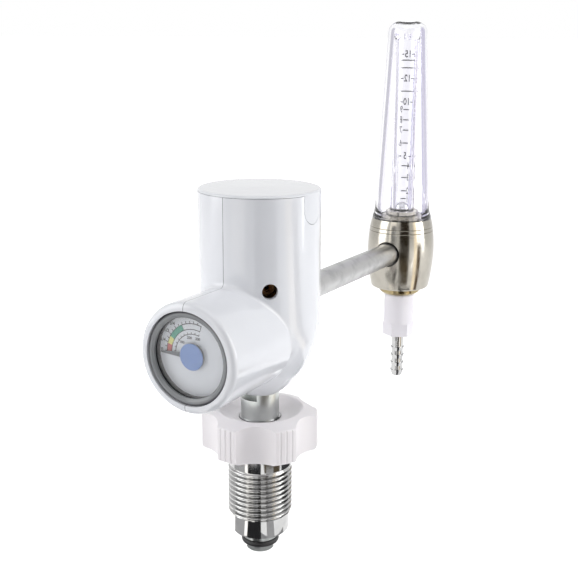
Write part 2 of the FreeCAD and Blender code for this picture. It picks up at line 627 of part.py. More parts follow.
def valve():
    """The brass valve body with its piston, spring, seat, poppet and bonnet."""
    body = turned("valve_body", [
        (stem_thread + fit, body_low), (body_neck, body_low), (body_neck, body_low + neck_rise),
        (body_radius, body_low + shoulder_rise), (body_radius, bonnet_low), (bonnet_screw, bonnet_low),
        (bonnet_screw, body_top), (piston_bore, body_top), (piston_bore, chamber_low),
        (seat_width() + fit, chamber_low), (seat_width() + fit, seat_low), (pressure_bore, seat_low),
        (pressure_bore, stem_top), (stem_thread + fit, stem_top)])
    stud(body, "outlet_boss", port_radius, port_face - piston_bore - 1.5,
         (0, piston_bore + 1.5, tube_height), BACK)
    drill(body, "tube_socket", tube_radius + fit, body_radius, (0, tube_start, tube_height), BACK)
    drill(body, "outlet_way", tube_bore, body_radius, (0, pressure_bore, tube_height), BACK)
    drill(body, "gauge_socket", socket_radius + fit, body_radius, (0, 1.0 - body_radius + 3.2, gauge_height), FRONT)
    drill(body, "gauge_way", 1.5, body_radius, (0, 0, gauge_height - 2.2), FRONT)
    side = Rotation(Vector(0, 0, 1), relief_turn) * FRONT
    drill(body, "relief_way", relief_radius + fit, body_radius, (0, 0, relief_height), side)
    bonnet = turned("bonnet", [
        (bonnet_screw + fit, bonnet_low), (bonnet_radius, bonnet_low), (bonnet_radius, bonnet_top - 1.5),
        (bonnet_radius - 1.5, bonnet_top), (preset_radius() + fit, bonnet_top),
        (preset_radius() + fit, bonnet_top - 3.5), (bonnet_bore, bonnet_top - 3.5),
        (bonnet_bore, body_top + 0.3), (bonnet_screw + fit, body_top + 0.3)])
    drill(bonnet, "breather", 0.8, bonnet_radius, (0, 0, bonnet_top - 8.0), LEFT)
    turned("preset_screw", [
        (0.0, spring_seat + 2.0), (preset_radius(), spring_seat + 2.0), (preset_radius(), bonnet_top + 2.5),
        (1.5, bonnet_top + 2.5), (1.5, bonnet_top - 0.5), (0.0, bonnet_top - 0.5)])
    turned("spring_plate", [
        (0.0, spring_seat), (bonnet_bore - 0.4, spring_seat), (bonnet_bore - 0.4, spring_seat + 1.2),
        (preset_radius() + 1.5, spring_seat + 2.0), (0.0, spring_seat + 2.0)])
    head = piston_low + piston_thick
    middle = piston_low + piston_thick / 2.0
    turned("piston", [
        (0.0, piston_low - 6.0), (2.4, piston_low - 6.0), (3.4, piston_low), (piston_bore - running, piston_low),
        (piston_bore - running, middle - piston_ring), (ring_floor(), middle - piston_ring),
        (ring_floor(), middle + piston_ring), (piston_bore - running, middle + piston_ring),
        (piston_bore - running, head), (spring_radius - 2 * spring_wire, head),
        (spring_radius - 2 * spring_wire, head + 2.0), (0.0, head + 2.0)])
    seal_ring("piston_seal", ring_floor() + piston_ring - 0.02, piston_ring - 0.03, (0, 0, middle))
    coil("main_spring", spring_radius, spring_wire, head, spring_seat, 3.0)
    turned("valve_seat", [
        (1.3, seat_low), (seat_width(), seat_low), (seat_width(), chamber_low), (1.3, chamber_low)])
    poppet_top = seat_low - lift - 0.05
    turned("poppet", [
        (0.0, poppet_top - 5.0), (1.2, poppet_top - 5.0), (1.2, poppet_top - 3.5), (3.2, poppet_top - 3.5),
        (3.2, poppet_top - 1.4), (2.4, poppet_top - 1.4), (2.4, poppet_top), (0.0, poppet_top)])
    turned("poppet_seal", [
        (2.43, poppet_top - 1.35), (3.2, poppet_top - 1.35), (3.2, poppet_top), (2.43, poppet_top)])
    turned("push_pin", [
        (0.0, poppet_top), (0.8, poppet_top), (0.8, piston_low - 6.0), (0.0, piston_low - 6.0)])
    coil("poppet_spring", 2.8, 0.4, stem_top + 0.05, poppet_top - 3.5, 3.0)
    relief = turned("relief_valve", [
        (0.9, piston_bore.value + 0.4), (relief_radius, piston_bore.value + 0.4),
        (relief_radius, body_radius + relief_stand), (1.5, body_radius + relief_stand),
        (1.5, body_radius - 0.5), (0.9, body_radius - 0.5)], (0, 0, relief_height))
    relief.Placement.Rotation = side


def seat_width():
    """Outer radius of the seat insert."""
    return pressure_bore - 1.6


def preset_radius():
    """Radius of the preset screw."""
    return stem_thread / 2.0


def ring_floor():
    """Floor radius of the piston's seal groove."""
    return piston_bore - 2 * piston_ring


def gauge():
    """The pressure gauge: case, bezel, window, dial, pointer, movement and tube."""
    at = (0, 0, gauge_height)
    back = case_front - case_depth
    face = case_front - dial_depth
    inner = case_radius - case_wall
    turned("gauge_case", [
        (socket_radius + 0.4, back), (case_radius - 1.0, back),
        (case_radius, back + 1.0, case_radius - 0.29, back + 0.29), (case_radius, case_front - bezel_depth),
        (inner, case_front - bezel_depth), (inner, back + case_wall), (socket_radius + 0.4, back + case_wall)],
        at, FRONT)
    turned("gauge_bezel", [
        (inner - bezel_width, case_front - bezel_depth), (case_radius, case_front - bezel_depth),
        (case_radius, case_front - 0.5), (case_radius - 0.5, case_front),
        (inner - bezel_width + 0.8, case_front), (inner - bezel_width, case_front - 0.5)], at, FRONT)
    glass_front = case_front - bezel_depth
    turned("gauge_window", [
        (0.0, glass_front - window_thick), (inner - fit, glass_front - window_thick),
        (inner - fit, glass_front), (0.0, glass_front)], at, FRONT)
    turned("window_ring", [
        (inner - bezel_width, face), (inner - fit, face), (inner - fit, glass_front - window_thick),
        (inner - bezel_width, glass_front - window_thick)], at, FRONT)
    turned("gauge_dial", [
        (arbor_radius + running, face - dial_thick), (inner - fit, face - dial_thick), (inner - fit, face),
        (arbor_radius + running, face)], at, FRONT)
    cap_front = glass_front - window_thick - 0.3
    turned("pointer_hub", [
        (arbor_radius + fit, face + 0.35), (hub_radius - 0.2, face + 0.35), (hub_radius - 0.2, cap_front - cap_thick),
        (arbor_radius + fit, cap_front - cap_thick)], at, FRONT)
    turned("hub_cap", [
        (0.0, cap_front - cap_thick), (hub_radius, cap_front - cap_thick), (hub_radius, cap_front - 0.12),
        (hub_radius - 0.12, cap_front), (0.0, cap_front)], at, FRONT)
    pointer = new_body("pointer", (0, -(face + pointer_gap), gauge_height), FRONT)
    tail = hub_radius - 0.2
    sketch = outline(pointer, "pointer_outline", [
        (-tail - fit, -0.75), (-tail - fit, 0.75), (-inner + 2.4, 0.3), (-inner + 2.2, 0.0), (-inner + 2.4, -0.3)],
        "XY_Plane")
    pad = pointer.newObject("PartDesign::Pad", "pointer_blade")
    pad.Profile = sketch
    pad.Length = 0.3
    deck = back + 7.5
    turned("gauge_arbor", [
        (0.0, deck - 3.1), (arbor_radius, deck - 3.1), (arbor_radius, cap_front - cap_thick),
        (0.0, cap_front - cap_thick)], at, FRONT)
    plate = turned("movement_plate", [
        (arbor_radius + running, deck), (7.0, deck), (7.0, deck + 0.8), (arbor_radius + running, deck + 0.8)],
        at, FRONT)
    shelf = back + case_wall + 2.0
    for name, side in (("upper_pillar", 3.9), ("lower_pillar", -3.9)):
        stud(plate, name, 0.8, deck - shelf, (0, side, shelf))
    turned("gauge_socket", [
        (0.9, body_radius - 4.0), (socket_radius, body_radius - 4.0), (socket_radius, back + case_wall + 2.0),
        (2.2, back + case_wall + 2.0), (2.2, deck - 3.2), (0.0, deck - 3.2), (0.0, deck - 5.0), (0.9, deck - 5.0)],
        at, FRONT)
    tube = new_body("bourdon_tube", at, FRONT)
    foot_start = 2.25
    near = back + bow_gap
    turn_solid(tube, [(bow_inner, near), (bow_outer, near), (bow_outer, near + bow_width),
                      (bow_inner, near + bow_width)], 250.0)
    block(tube, "Additive", "foot", bow_outer - 0.35 - foot_start, 2.6, 2.6, (foot_start, 0.0, near))


def flowmeter():
    """Outlet tube, flowmeter block, clear cover, flow tube, float, valve and hose outlet."""
    at = (0, flow_axis, 0)
    length = flow_axis - tube_sink - tube_start
    turned("outlet_tube", [
        (tube_bore, 0.0), (tube_radius, 0.0), (tube_radius, length), (tube_bore, length)],
        (0, tube_start, tube_height), BACK)
    turned_block = new_body("flow_block", at)
    belly = (barrel_belly, tube_height - 1.0, (barrel_belly + barrel_foot) / 2.0 + 0.35,
             (barrel_low + tube_height) / 2.0)
    line = 0.18
    top = groove_height + 2 * groove_space
    turn_solid(turned_block, [
        (0.0, barrel_low), (barrel_foot - 0.4, barrel_low), (barrel_foot, barrel_low + 0.5), belly,
        (barrel_belly - 0.55, groove_height - line, barrel_belly - 0.1, (groove_height + tube_height) / 2.0),
        (barrel_belly - 0.75, groove_height), (barrel_belly - 0.58, groove_height + line),
        (barrel_belly - 0.8, groove_height + groove_space - line),
        (barrel_belly - 1.0, groove_height + groove_space), (barrel_belly - 0.83, groove_height + groove_space + line),
        (barrel_neck, barrel_top, (barrel_belly - 0.83 + barrel_neck) / 2.0 + 0.05, (top + barrel_top) / 2.0 - 0.6),
        (recess_radius, barrel_top), (recess_radius, recess_floor), (0.0, recess_floor)])
    drill(turned_block, "tube_socket", tube_radius + fit, barrel_belly, (0, -tube_sink, tube_height), FRONT)
    drill(turned_block, "tube_relief", tube_radius + 0.7, barrel_belly, (0, 2.2 - barrel_belly, tube_height), FRONT)
    drill(turned_block, "needle_way", needle_radius - 0.2, tube_sink + 1.0, (0, 0.5, tube_height), FRONT)
    drill(turned_block, "needle_room", gland_radius - 1.2, barrel_belly, (0, 0.5, tube_height), BACK)
    drill(turned_block, "gland_seat", gland_radius + fit, barrel_belly, (0, barrel_belly - 6.0, tube_height), BACK)
    drill(turned_block, "riser", 1.5, recess_floor - tube_height, (0, 2.4, tube_height))
    drill(turned_block, "return_way", 1.2, recess_floor - barrel_low, (-7.2, 0, barrel_low + 3.0))
    drill(turned_block, "outlet_room", stub_radius - 0.8, 4.0, (0, 0, barrel_low))
    block(turned_block, "Subtractive", "return_slot", 7.2, 1.6, 1.6, (-7.2, -0.8, barrel_low + 3.0))
    turned("lock_ring", [
        (stub_radius + fit, outlet_low), (outlet_radius - 0.8, outlet_low), (outlet_radius, outlet_low + 0.8),
        (outlet_radius, barrel_low), (stub_radius + fit, barrel_low)], at)
    turned("outlet_stub", [
        (barb_bore, stub_low), (stub_radius - 0.4, stub_low), (stub_radius, stub_low + 0.4), (stub_radius, barrel_low),
        (stub_radius - 0.8 - fit, barrel_low), (stub_radius - 0.8 - fit, barrel_low + 2.5), (barb_bore, barrel_low + 2.5)],
        at)
    nut = turned("outlet_nut", [
        (barb_radius + 2 * running, nut_low), (nut_corner, nut_low), (nut_corner, nut_step),
        (nut_radius, nut_step), *corner(nut_radius, outlet_low - 0.4, 0.7, NORTH, WEST),
        (stub_radius + running, outlet_low - 0.4), (stub_radius + running, stub_low - 3.0),
        (barb_radius + 2 * running, stub_low - 3.0)], at)
    return_hex(nut)
    ridges = []
    for index in range(4):
        foot = barb_low + 0.9 + barb_pitch * float(index)
        ridges += [(barb_radius - 0.1, foot), (barb_radius + barb_ridge - 0.06 + index * 0.02, foot + 1.7),
                   (barb_radius - 0.05, foot + 1.75)]
    turned("hose_barb", [
        (barb_bore, barb_low), (barb_radius - 0.5, barb_low), *ridges,
        (barb_radius, nut_low - 3.0), (barb_radius, stub_low - 3.0 + fit), (stub_radius - 0.2, stub_low - 3.0 + fit),
        (stub_radius - 0.2, stub_low - 1.0), (barb_bore, stub_low - 1.0)], at)
    turned("outlet_washer", [
        (barb_bore + 0.2, stub_low - 1.0), (stub_radius - 0.3, stub_low - 1.0), (stub_radius - 0.3, stub_low),
        (barb_bore + 0.2, stub_low)], at)
    inner_low = dome_base - dome_wall
    inner_top = dome_tip - dome_wall
    turned("clear_cover", [
        (inner_low, barrel_top), (flange_radius, barrel_top), (flange_radius, barrel_top + 1.0),
        (dome_base, flange_top, dome_base + 0.28, barrel_top + 3.0), *corner(dome_tip, dome_top, dome_round, NORTH, WEST), (0.0, dome_top),
        (0.0, dome_top - dome_wall), *corner(inner_top, dome_top - dome_wall, dome_round - dome_wall, EAST, SOUTH),
        (inner_low, flange_top + 2.0)], at)
    turned("cover_seal", [
        (recess_radius - 0.8, barrel_top - 0.6), (recess_radius - fit, barrel_top - 0.6),
        (recess_radius - fit, barrel_top), (recess_radius - 0.8, barrel_top)], at)
    seat = turned("flow_seat", [
        (1.3, recess_floor), (cone_radius, recess_floor), (cone_radius, glass_low - 1.2), (glass_radius + 2.0, glass_low - 0.4),
        (glass_radius + 2.0, glass_low + 2.0), (glass_radius + fit, glass_low + 2.0),
        (glass_radius + fit, glass_low), (1.3, glass_low)], at)
    drill(seat, "vent", 1.0, 8.0, (-7.2, 0, recess_floor))
    turned("flow_tube", [
        (glass_bore, glass_low), (glass_radius, glass_low), (glass_radius, glass_top), (glass_wide, glass_top)], at)
    turned("tube_cap", [
        (1.0, glass_top), (glass_wide - 0.6, glass_top), (glass_radius, glass_top), (inner_top - 0.35, glass_top + 0.6),
        (inner_top - 0.6, glass_top + 2.4), (1.0, glass_top + 2.4)], at)
    ball = doc.addObject("Part::Sphere", "float_ball")
    ball.Label = "float_ball"
    ball.Radius = ball_radius.value
    ball.setExpression("Radius", ball_radius.text)
    place(ball, seated((0, flow_axis, glass_low + ball_radius + 0.1)))
    nodes.append(ball)
    side = (0, flow_axis, tube_height)
    turned("needle_gland", [
        (needle_radius + running, barrel_belly - 6.0), (gland_radius, barrel_belly - 6.0),
        (gland_radius, knob_start - 0.4), (needle_radius + running, knob_start - 0.4)], side, BACK)
    turned("needle", [
        (0.0, -1.4), (0.3, -1.4), (needle_radius - 0.3, 0.4), (needle_radius, 1.0), (needle_radius, knob_start + knob_length - 2.0),
        (0.0, knob_start + knob_length - 2.0)], side, BACK)
    knob = turned("flow_knob", [
        (needle_radius + running, knob_start), (knob_radius - 0.5, knob_start), (knob_radius, knob_start + 0.5),
        (knob_radius, knob_start + knob_length - 0.8),
        (knob_radius - 0.8, knob_start + knob_length, knob_radius - 0.234, knob_start + knob_length - 0.234),
        (0.0, knob_start + knob_length), (0.0, knob_start + knob_length - 1.0),
        (needle_radius + running, knob_start + knob_length - 1.0)], side, BACK)
    flute = drill(knob, "flute", 0.8, knob_length, (knob_radius + 0.35, 0, knob_start))
    around(knob, [flute], 12, "flutes")


def return_hex(nut):
    """Cut the six flats of the outlet nut."""
    flat = nut_corner * math.cos(math.pi / 6)
    cut = block(nut, "Subtractive", "flat", nut_corner, 2 * nut_corner, nut_step - nut_low,
                (flat, -nut_corner, nut_low))
    around(nut, [cut], 6, "flats")


def finish():
    """Recompute, check every object and write one file for each node."""
    doc.recompute()
    for item in doc.Objects:
        if any(word in item.State for word in ("Invalid", "Error")):
            raise RuntimeError("%s did not build: %s" % (item.Name, item.State))
    os.makedirs("parts", exist_ok=True)
    for node in nodes:
        shape = node.Shape
        if shape.isNull() or not shape.isValid() or shape.Volume <= 0:
            raise RuntimeError("%s has no valid solid" % node.Label)
        shape.exportStep(os.path.join("parts", node.Label + ".step"))
        print("%-24s %d solid, volume %.1f" % (node.Label, len(shape.Solids), shape.Volume))


inlet()
housing()
valve()
gauge()
flowmeter()
finish()
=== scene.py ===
"""Looks of an oxygen cylinder regulator with a dial gauge and a flowmeter.

The CAD frame gives every piece its place. This file adds the cut inlet thread, the printed dial and
flow scale, the finish of every surface, and the studio. Sizes in the classes are millimetres in the
CAD frame, +Z up with the gauge facing -Y, and mesh_piece turns them into the frame's metres. Only
the lamps and cards of the studio are measured in metres, as their classes say.
"""

import logging
import math
from dataclasses import dataclass
from enum import Enum
from typing import Any, ClassVar, Optional, Sequence, Union

import bpy
import numpy as np
from mathutils import Matrix, Vector


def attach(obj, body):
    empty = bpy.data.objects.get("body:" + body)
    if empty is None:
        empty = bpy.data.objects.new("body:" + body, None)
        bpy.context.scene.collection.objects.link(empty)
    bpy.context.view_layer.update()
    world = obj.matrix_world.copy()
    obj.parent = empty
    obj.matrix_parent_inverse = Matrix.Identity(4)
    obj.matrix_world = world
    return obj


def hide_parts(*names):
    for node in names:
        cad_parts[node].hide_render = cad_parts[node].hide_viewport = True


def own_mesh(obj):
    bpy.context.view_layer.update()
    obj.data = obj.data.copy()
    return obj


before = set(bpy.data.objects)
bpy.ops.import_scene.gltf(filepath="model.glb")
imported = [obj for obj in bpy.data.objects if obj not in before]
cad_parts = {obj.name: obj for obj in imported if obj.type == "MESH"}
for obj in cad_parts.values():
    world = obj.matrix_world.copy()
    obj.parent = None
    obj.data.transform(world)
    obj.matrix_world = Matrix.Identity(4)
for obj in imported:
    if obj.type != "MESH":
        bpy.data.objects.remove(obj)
LOG = logging.getLogger("regulator")
METRE = 0.001
FULL_TURN = 2.0 * math.pi
Colour = tuple[float, float, float]
Place = tuple[float, float, float]
Shape = tuple[np.ndarray, Any]  # points, and the point numbers of each face


class Signal:
    """A shader socket that is reckoned with in plain Python: each operator adds one Math node."""

    def __init__(self, sheet: "NodeSheet", socket: bpy.types.NodeSocket) -> None:
        """Wrap a socket of the sheet."""
        self.sheet = sheet
        self.socket = socket

    def math(self, operation: str, first: "Scalar", second: "Scalar" = 0.0) -> "Signal":
        """Add one Math node.

        Args:
            operation: The Math node's operation.
            first: Its first value.
            second: Its second value, where the operation has one.

        Returns:
            The node's result.
        """
        node = self.sheet.node("ShaderNodeMath", {"operation": operation}, {0: first, 1: second})
        return Signal(self.sheet, node.outputs[0])

    def __add__(self, other: "Scalar") -> "Signal":
        """Self plus other."""
        return self.math("ADD", self, other)

    __radd__ = __add__

    def __sub__(self, other: "Scalar") -> "Signal":
        """Self less other."""
        return self.math("SUBTRACT", self, other)

    def __rsub__(self, other: "Scalar") -> "Signal":
        """Other less self."""
        return self.math("SUBTRACT", other, self)

    def __mul__(self, other: "Scalar") -> "Signal":
        """Self times other."""
        return self.math("MULTIPLY", self, other)

    __rmul__ = __mul__

    def __pow__(self, other: "Scalar") -> "Signal":
        """Self to the power of other."""
        return self.math("POWER", self, other)

    def size(self) -> "Signal":
        """Self without its sign."""
        return self.math("ABSOLUTE", self)

    def step(self, low: float, high: float) -> "Signal":
        """Self as 0 below low and 1 above high, smooth between them."""
        node = self.sheet.node("ShaderNodeMapRange", {"interpolation_type": "SMOOTHSTEP"},
                               {"Value": self, "From Min": low, "From Max": high})
        return Signal(self.sheet, node.outputs[0])


Scalar = Union[Signal, float]


class NodeSheet:
    """A node tree that is filled through one method."""

    def __init__(self, owner: Union[bpy.types.Material, bpy.types.World]) -> None:
        """Empty the tree of its owner.

        Args:
            owner: The material or the world that the nodes belong to.
        """
        owner.use_nodes = True
        self.tree = owner.node_tree
        self.tree.nodes.clear()

    def node(self, kind: str, settings: Optional[dict[str, Any]] = None,
             inputs: Optional[dict[Union[str, int], Any]] = None) -> bpy.types.Node:
        """Add any node.

        Args:
            kind: The node's type.
            settings: Its settings, which are set first.
            inputs: The values or links of its sockets.

        Returns:
            The node.
        """
        made = self.tree.nodes.new(kind)
        for key, value in (settings or {}).items():
            setattr(made, key, value)
        for key, value in (inputs or {}).items():
            self.feed(made.inputs[key], value)
        return made

    def feed(self, socket: bpy.types.NodeSocket, value: Any) -> None:
        """Link a socket or set its own value.

        Args:
            socket: The socket that is fed.
            value: A signal or another socket to link it to, or a plain value.
        """
        if isinstance(value, Signal):
            self.tree.links.new(value.socket, socket)
        elif isinstance(value, bpy.types.NodeSocket):
            self.tree.links.new(value, socket)
        else:
            socket.default_value = value

    def direct_ray(self) -> Signal:
        """Tell the rays that see a surface from those that only carry its light.

        Returns:
            1 for a ray from the camera, from a gloss or through a clear piece, else 0.
        """
        path = self.node("ShaderNodeLightPath")
        seen = Signal(self, path.outputs["Is Camera Ray"])
        for name in ("Is Glossy Ray", "Is Transmission Ray"):
            seen = seen.math("MAXIMUM", seen, Signal(self, path.outputs[name]))
        return seen


class FinishSheet(NodeSheet):
    """The node tree of one finish, with its Principled shader wired to the output."""

    def __init__(self, name: str) -> None:
        """Start an empty material with a Principled shader.

        Args:
            name: The finish's name.
        """
        self.material = bpy.data.materials.new(name)
        super().__init__(self.material)
        self.shader = self.node("ShaderNodeBsdfPrincipled")
        self.output = self.node("ShaderNodeOutputMaterial", inputs={"Surface": self.shader.outputs[0]})

    def set(self, **values: Any) -> None:
        """Set the Principled shader's sockets, their names written with _ for a space."""
        for key, value in values.items():
            self.feed(self.shader.inputs[key.replace("_", " ")], value)

    def place(self, stretch: Place = (1.0, 1.0, 1.0)) -> bpy.types.NodeSocket:
        """Object coordinates, in metres.

        Args:
            stretch: What each axis is multiplied by.

        Returns:
            The coordinates.
        """
        source = self.node("ShaderNodeTexCoord")
        node = self.node("ShaderNodeMapping", {"vector_type": "POINT"},
                         {"Vector": source.outputs["Object"], "Scale": stretch})
        return node.outputs[0]

    def axis(self, letter: str) -> Signal:
        """One Object coordinate, X, Y or Z, in metres."""
        node = self.node("ShaderNodeSeparateXYZ", inputs={0: self.place()})
        return Signal(self, node.outputs[letter])

    def noise(self, size: float, detail: float, stretch: Place = (1.0, 1.0, 1.0)) -> Signal:
        """Soft noise from 0 to 1.

        Args:
            size: How large its blotches are, in millimetres.
            detail: How many finer layers it has.
            stretch: What each axis is multiplied by first.

        Returns:
            The noise.
        """
        node = self.node("ShaderNodeTexNoise", {"noise_dimensions": "3D"},
                         {"Vector": self.place(stretch), "Scale": 1.0 / (size * METRE), "Detail": detail})
        return Signal(self, node.outputs["Fac"])

    def blend(self, factor: Scalar, first: Colour, second: Colour) -> bpy.types.NodeSocket:
        """A colour between two others."""
        return self.mixed(factor, (*first, 1.0), (*second, 1.0))

    def mixed(self, factor: Scalar, first: Any, second: Any) -> bpy.types.NodeSocket:
        """A colour between two others, each a value or a socket."""
        node = self.node("ShaderNodeMix", {"data_type": "RGBA"}, {0: factor, 6: first, 7: second})
        return node.outputs[2]

    def bump(self, height: Scalar, depth: float) -> None:
        """Emboss the surface by a height from 0 to 1 that is depth millimetres deep."""
        node = self.node("ShaderNodeBump", inputs={"Height": height, "Distance": depth * METRE,
                                                   "Strength": 1.0})
        self.set(Normal=node.outputs[0])


class Grain(Enum):
    """The way in which a metal was worked."""

    TURNED_UPRIGHT = "Z"
    TURNED_LEVEL = "Y"
    DRAWN_LEVEL = "drawn"
    CAST = "cast"


@dataclass(frozen=True)
class Moulding:
    """Moulded plastic: a skin with faint flow marks, fine peel and slight wear of its gloss."""

    name: str
    colour: Colour
    shade: Colour
    roughness: float
    peel: float
    coat: float = 0.0

    # Colour of the shade painted into the skin at a joint line or at a rim's outer edge.
    PAINTED_SHADE_COLOUR: ClassVar[Colour] = (0.09, 0.09, 0.10)
    SWIRL_WEAR: ClassVar[float] = 0.05
    GRAIN_WEAR: ClassVar[float] = 0.02
    GRAIN_SHARE: ClassVar[float] = 0.4
    SWIRL_SHARE: ClassVar[float] = 0.6

    def material(self) -> bpy.types.Material:
        """Build the finish.

        Returns:
            The material.
        """
        sheet = FinishSheet(self.name)
        flow = sheet.noise(size=14.0, detail=3.0, stretch=(1.0, 1.0, 0.45))
        grain = sheet.noise(size=0.35, detail=2.0)
        swirl = sheet.noise(size=3.0, detail=4.0)
        skin = sheet.blend(flow.step(low=0.35, high=0.75), self.colour, self.shade)
        # Painted shade: the skin is mixed towards a dark colour along a joint line or a rim's outer edge.
        painted_shade = self.painted_shade(sheet)
        if painted_shade is not None:
            skin = sheet.mixed(painted_shade, skin, (*self.PAINTED_SHADE_COLOUR, 1.0))
        worn = self.roughness + swirl.step(low=0.4, high=0.8) * self.SWIRL_WEAR + grain * self.GRAIN_WEAR
        sheet.set(Base_Color=skin, Roughness=worn, Coat_Weight=self.coat, Coat_Roughness=0.06, IOR=1.5)
        sheet.bump(grain * self.GRAIN_SHARE + swirl * self.SWIRL_SHARE, self.peel)
        return sheet.material

    def painted_shade(self, sheet: FinishSheet) -> Optional[Signal]:
        """Where shade is painted dark into the skin at a joint or an edge, 0 to 1; a plain moulding has none.
        """
        return None


@dataclass(frozen=True)
class PartedMoulding(Moulding):
    """A moulding with shade painted dark into its skin along an upright joint plane, standing for the parting
    gap's shadow.
    """

    joint: float = -0.8
    half: float = 0.13
    core: float = 0.45
    wander: float = 0.12

    def painted_shade(self, sheet: FinishSheet) -> Optional[Signal]:
        """Where the joint's painted shade lies.

        The painted shade is full where the distance from the joint plane, with some noise added, is less
        than the core's share of half the line's width, and ends from half its width on.

        Args:
            sheet: The finish's nodes.

        Returns:
            1 where it is dark, 0 where it isn't.
        """
        # Painted shade: a thin dark line along the joint plane stands for the parting gap's shadow.
        off = (sheet.axis("X") - self.joint * METRE).size()
        uneven = sheet.noise(size=6.0, detail=2.0) * self.wander * METRE
        spread = off + uneven - self.wander / 2.0 * METRE
        return 1.0 - spread.step(self.half * self.core * METRE, self.half * METRE)


@dataclass(frozen=True)
class RimmedMoulding(Moulding):
    """A painted ring round the gauge axis, pale inside, with painted shade along its outer edge where its
    rounded side is shaded.
    """

    height: float = 68.2
    rim: float = 14.55
    fade: float = 0.2

    def painted_shade(self, sheet: FinishSheet) -> Optional[Signal]:
        """Where shade is painted on the ring: beyond the rim's radius from the gauge axis.

        Args:
            sheet: The finish's nodes.

        Returns:
            1 where it is dark, 0 where it isn't.
        """
        # Painted shade: beyond the rim's radius the ring is darkened as the shaded side of the rounded rim.
        across, rise = sheet.axis("X"), sheet.axis("Z") - self.height * METRE
        off = (across * across + rise * rise) ** 0.5
        return off.step((self.rim - self.fade) * METRE, (self.rim + self.fade) * METRE)


@dataclass(frozen=True)
class WorkedMetal:
    """Bare or plated metal with the marks of the lathe, of drawing or of casting."""

    name: str
    colour: Colour
    shade: Colour
    roughness: float
    grain: Grain
    pitch: float = 0.22
    depth: float = 0.004
    stain: float = 0.12

    # Near-black colour of the shade painted into a recess, and how fully it covers the metal.
    RECESS_SHADE_COLOUR: ClassVar[Colour] = (0.02, 0.02, 0.02)
    RECESS_SHADE_COVER: ClassVar[float] = 0.93
    MARKS_WEAR: ClassVar[float] = 0.03

    def material(self) -> bpy.types.Material:
        """Build the finish.

        Returns:
            The material.
        """
        sheet = FinishSheet(self.name)
        blotch = sheet.noise(size=5.0, detail=5.0)
        marks = self._marks(sheet)
        bare = sheet.blend(blotch.step(low=0.42, high=0.72), self.colour, self.shade)
        # Painted shade: the colour goes towards near black where film marks a shaded recess.
        film = self.film(sheet)
        if film is not None:
            bare = sheet.mixed(film * self.RECESS_SHADE_COVER, bare, (*self.RECESS_SHADE_COLOUR, 1.0))
        worn = self.roughness + blotch.step(low=0.45, high=0.8) * self.stain + marks * self.MARKS_WEAR
        sheet.set(Base_Color=bare, Metallic=1.0, Roughness=worn)
        sheet.bump(marks, self.depth)
        return sheet.material

    def film(self, sheet: FinishSheet) -> Optional[Signal]:
        """Where shade is painted dark into the metal's colour, 0 to 1; plain metal has none."""
        return None

    def _marks(self, sheet: FinishSheet) -> Signal:
        """The height of the tool marks: fine noise, drawn out along the way of working.

        Args:
            sheet: The finish's nodes.

        Returns:
            The height, 0 to 1.
        """
        fine, long = 1.0, 0.02
        if self.grain is Grain.CAST:
            return sheet.noise(self.pitch * 2.0, detail=6.0)
        stretch = {Grain.TURNED_UPRIGHT: (long, long, fine), Grain.TURNED_LEVEL: (long, fine, long),
                   Grain.DRAWN_LEVEL: (fine, long, fine)}[self.grain]
        return sheet.noise(self.pitch, detail=3.0, stretch=stretch)


@dataclass(frozen=True)
class SocketedMetal(WorkedMetal):
    """Turned metal with a deep round recess on its -Y side, its shadow painted dark into the colour."""

    height: float = 74.6
    recess: float = 5.45
    edge: float = 0.06
    before: float = 108.0
    fade: float = 1.0

    def film(self, sheet: FinishSheet) -> Optional[Signal]:
        """Where the recess's painted shade lies: near its level axis, and only in front of the flowmeter's
        own.

        Args:
            sheet: The finish's nodes.

        Returns:
            1 where it is dark, 0 where it isn't.
        """
        # Painted shade: inside the recess's radius and in front of the flowmeter's axis, the metal is
        # darkened as the recess's shadow.
        across, ahead, up = (sheet.axis(letter) for letter in "XYZ")
        rise = up - self.height * METRE
        off = (across * across + rise * rise) ** 0.5
        near = 1.0 - off.step((self.recess - self.edge) * METRE, (self.recess + self.edge) * METRE)
        return near * (1.0 - ahead.step((self.before - self.fade) * METRE, self.before * METRE))


@dataclass(frozen=True)
class Elastomer:
    """Seal rubber: near black, soft sheen, a fine bloom."""

    name: str = "seal_rubber"
    colour: Colour = (0.022, 0.022, 0.024)
    bloom: Colour = (0.06, 0.06, 0.062)
    roughness: float = 0.42
    dulling: float = 0.2

    def material(self) -> bpy.types.Material:
        """Build the finish.

        Returns:
            The material.
        """
        sheet = FinishSheet(self.name)
        dust = sheet.noise(size=1.2, detail=5.0)
        sheet.set(Base_Color=sheet.blend(dust.step(low=0.5, high=0.85), self.colour, self.bloom),
                  Roughness=self.roughness + dust * self.dulling)
        sheet.bump(sheet.noise(size=0.18, detail=3.0), depth=0.006)
        return sheet.material


@dataclass(frozen=True)
class ClearPart:
    """Clear plastic or glass, with a trace of tint and the faint flow lines of its making."""

    name: str
    tint: Colour
    ior: float
    ripple: float
    haze: float = 0.01

    def material(self) -> bpy.types.Material:
        """Build the finish.

        Returns:
            The material.
        """
        sheet = FinishSheet(self.name)
        flow = sheet.noise(size=6.0, detail=2.0, stretch=(1.0, 1.0, 0.12))
        sheet.set(Base_Color=(*self.tint, 1.0), Transmission_Weight=1.0, IOR=self.ior,
                  Roughness=self.haze + flow.step(low=0.5, high=0.9) * self.haze)
        sheet.bump(flow, self.ripple)
        return sheet.material


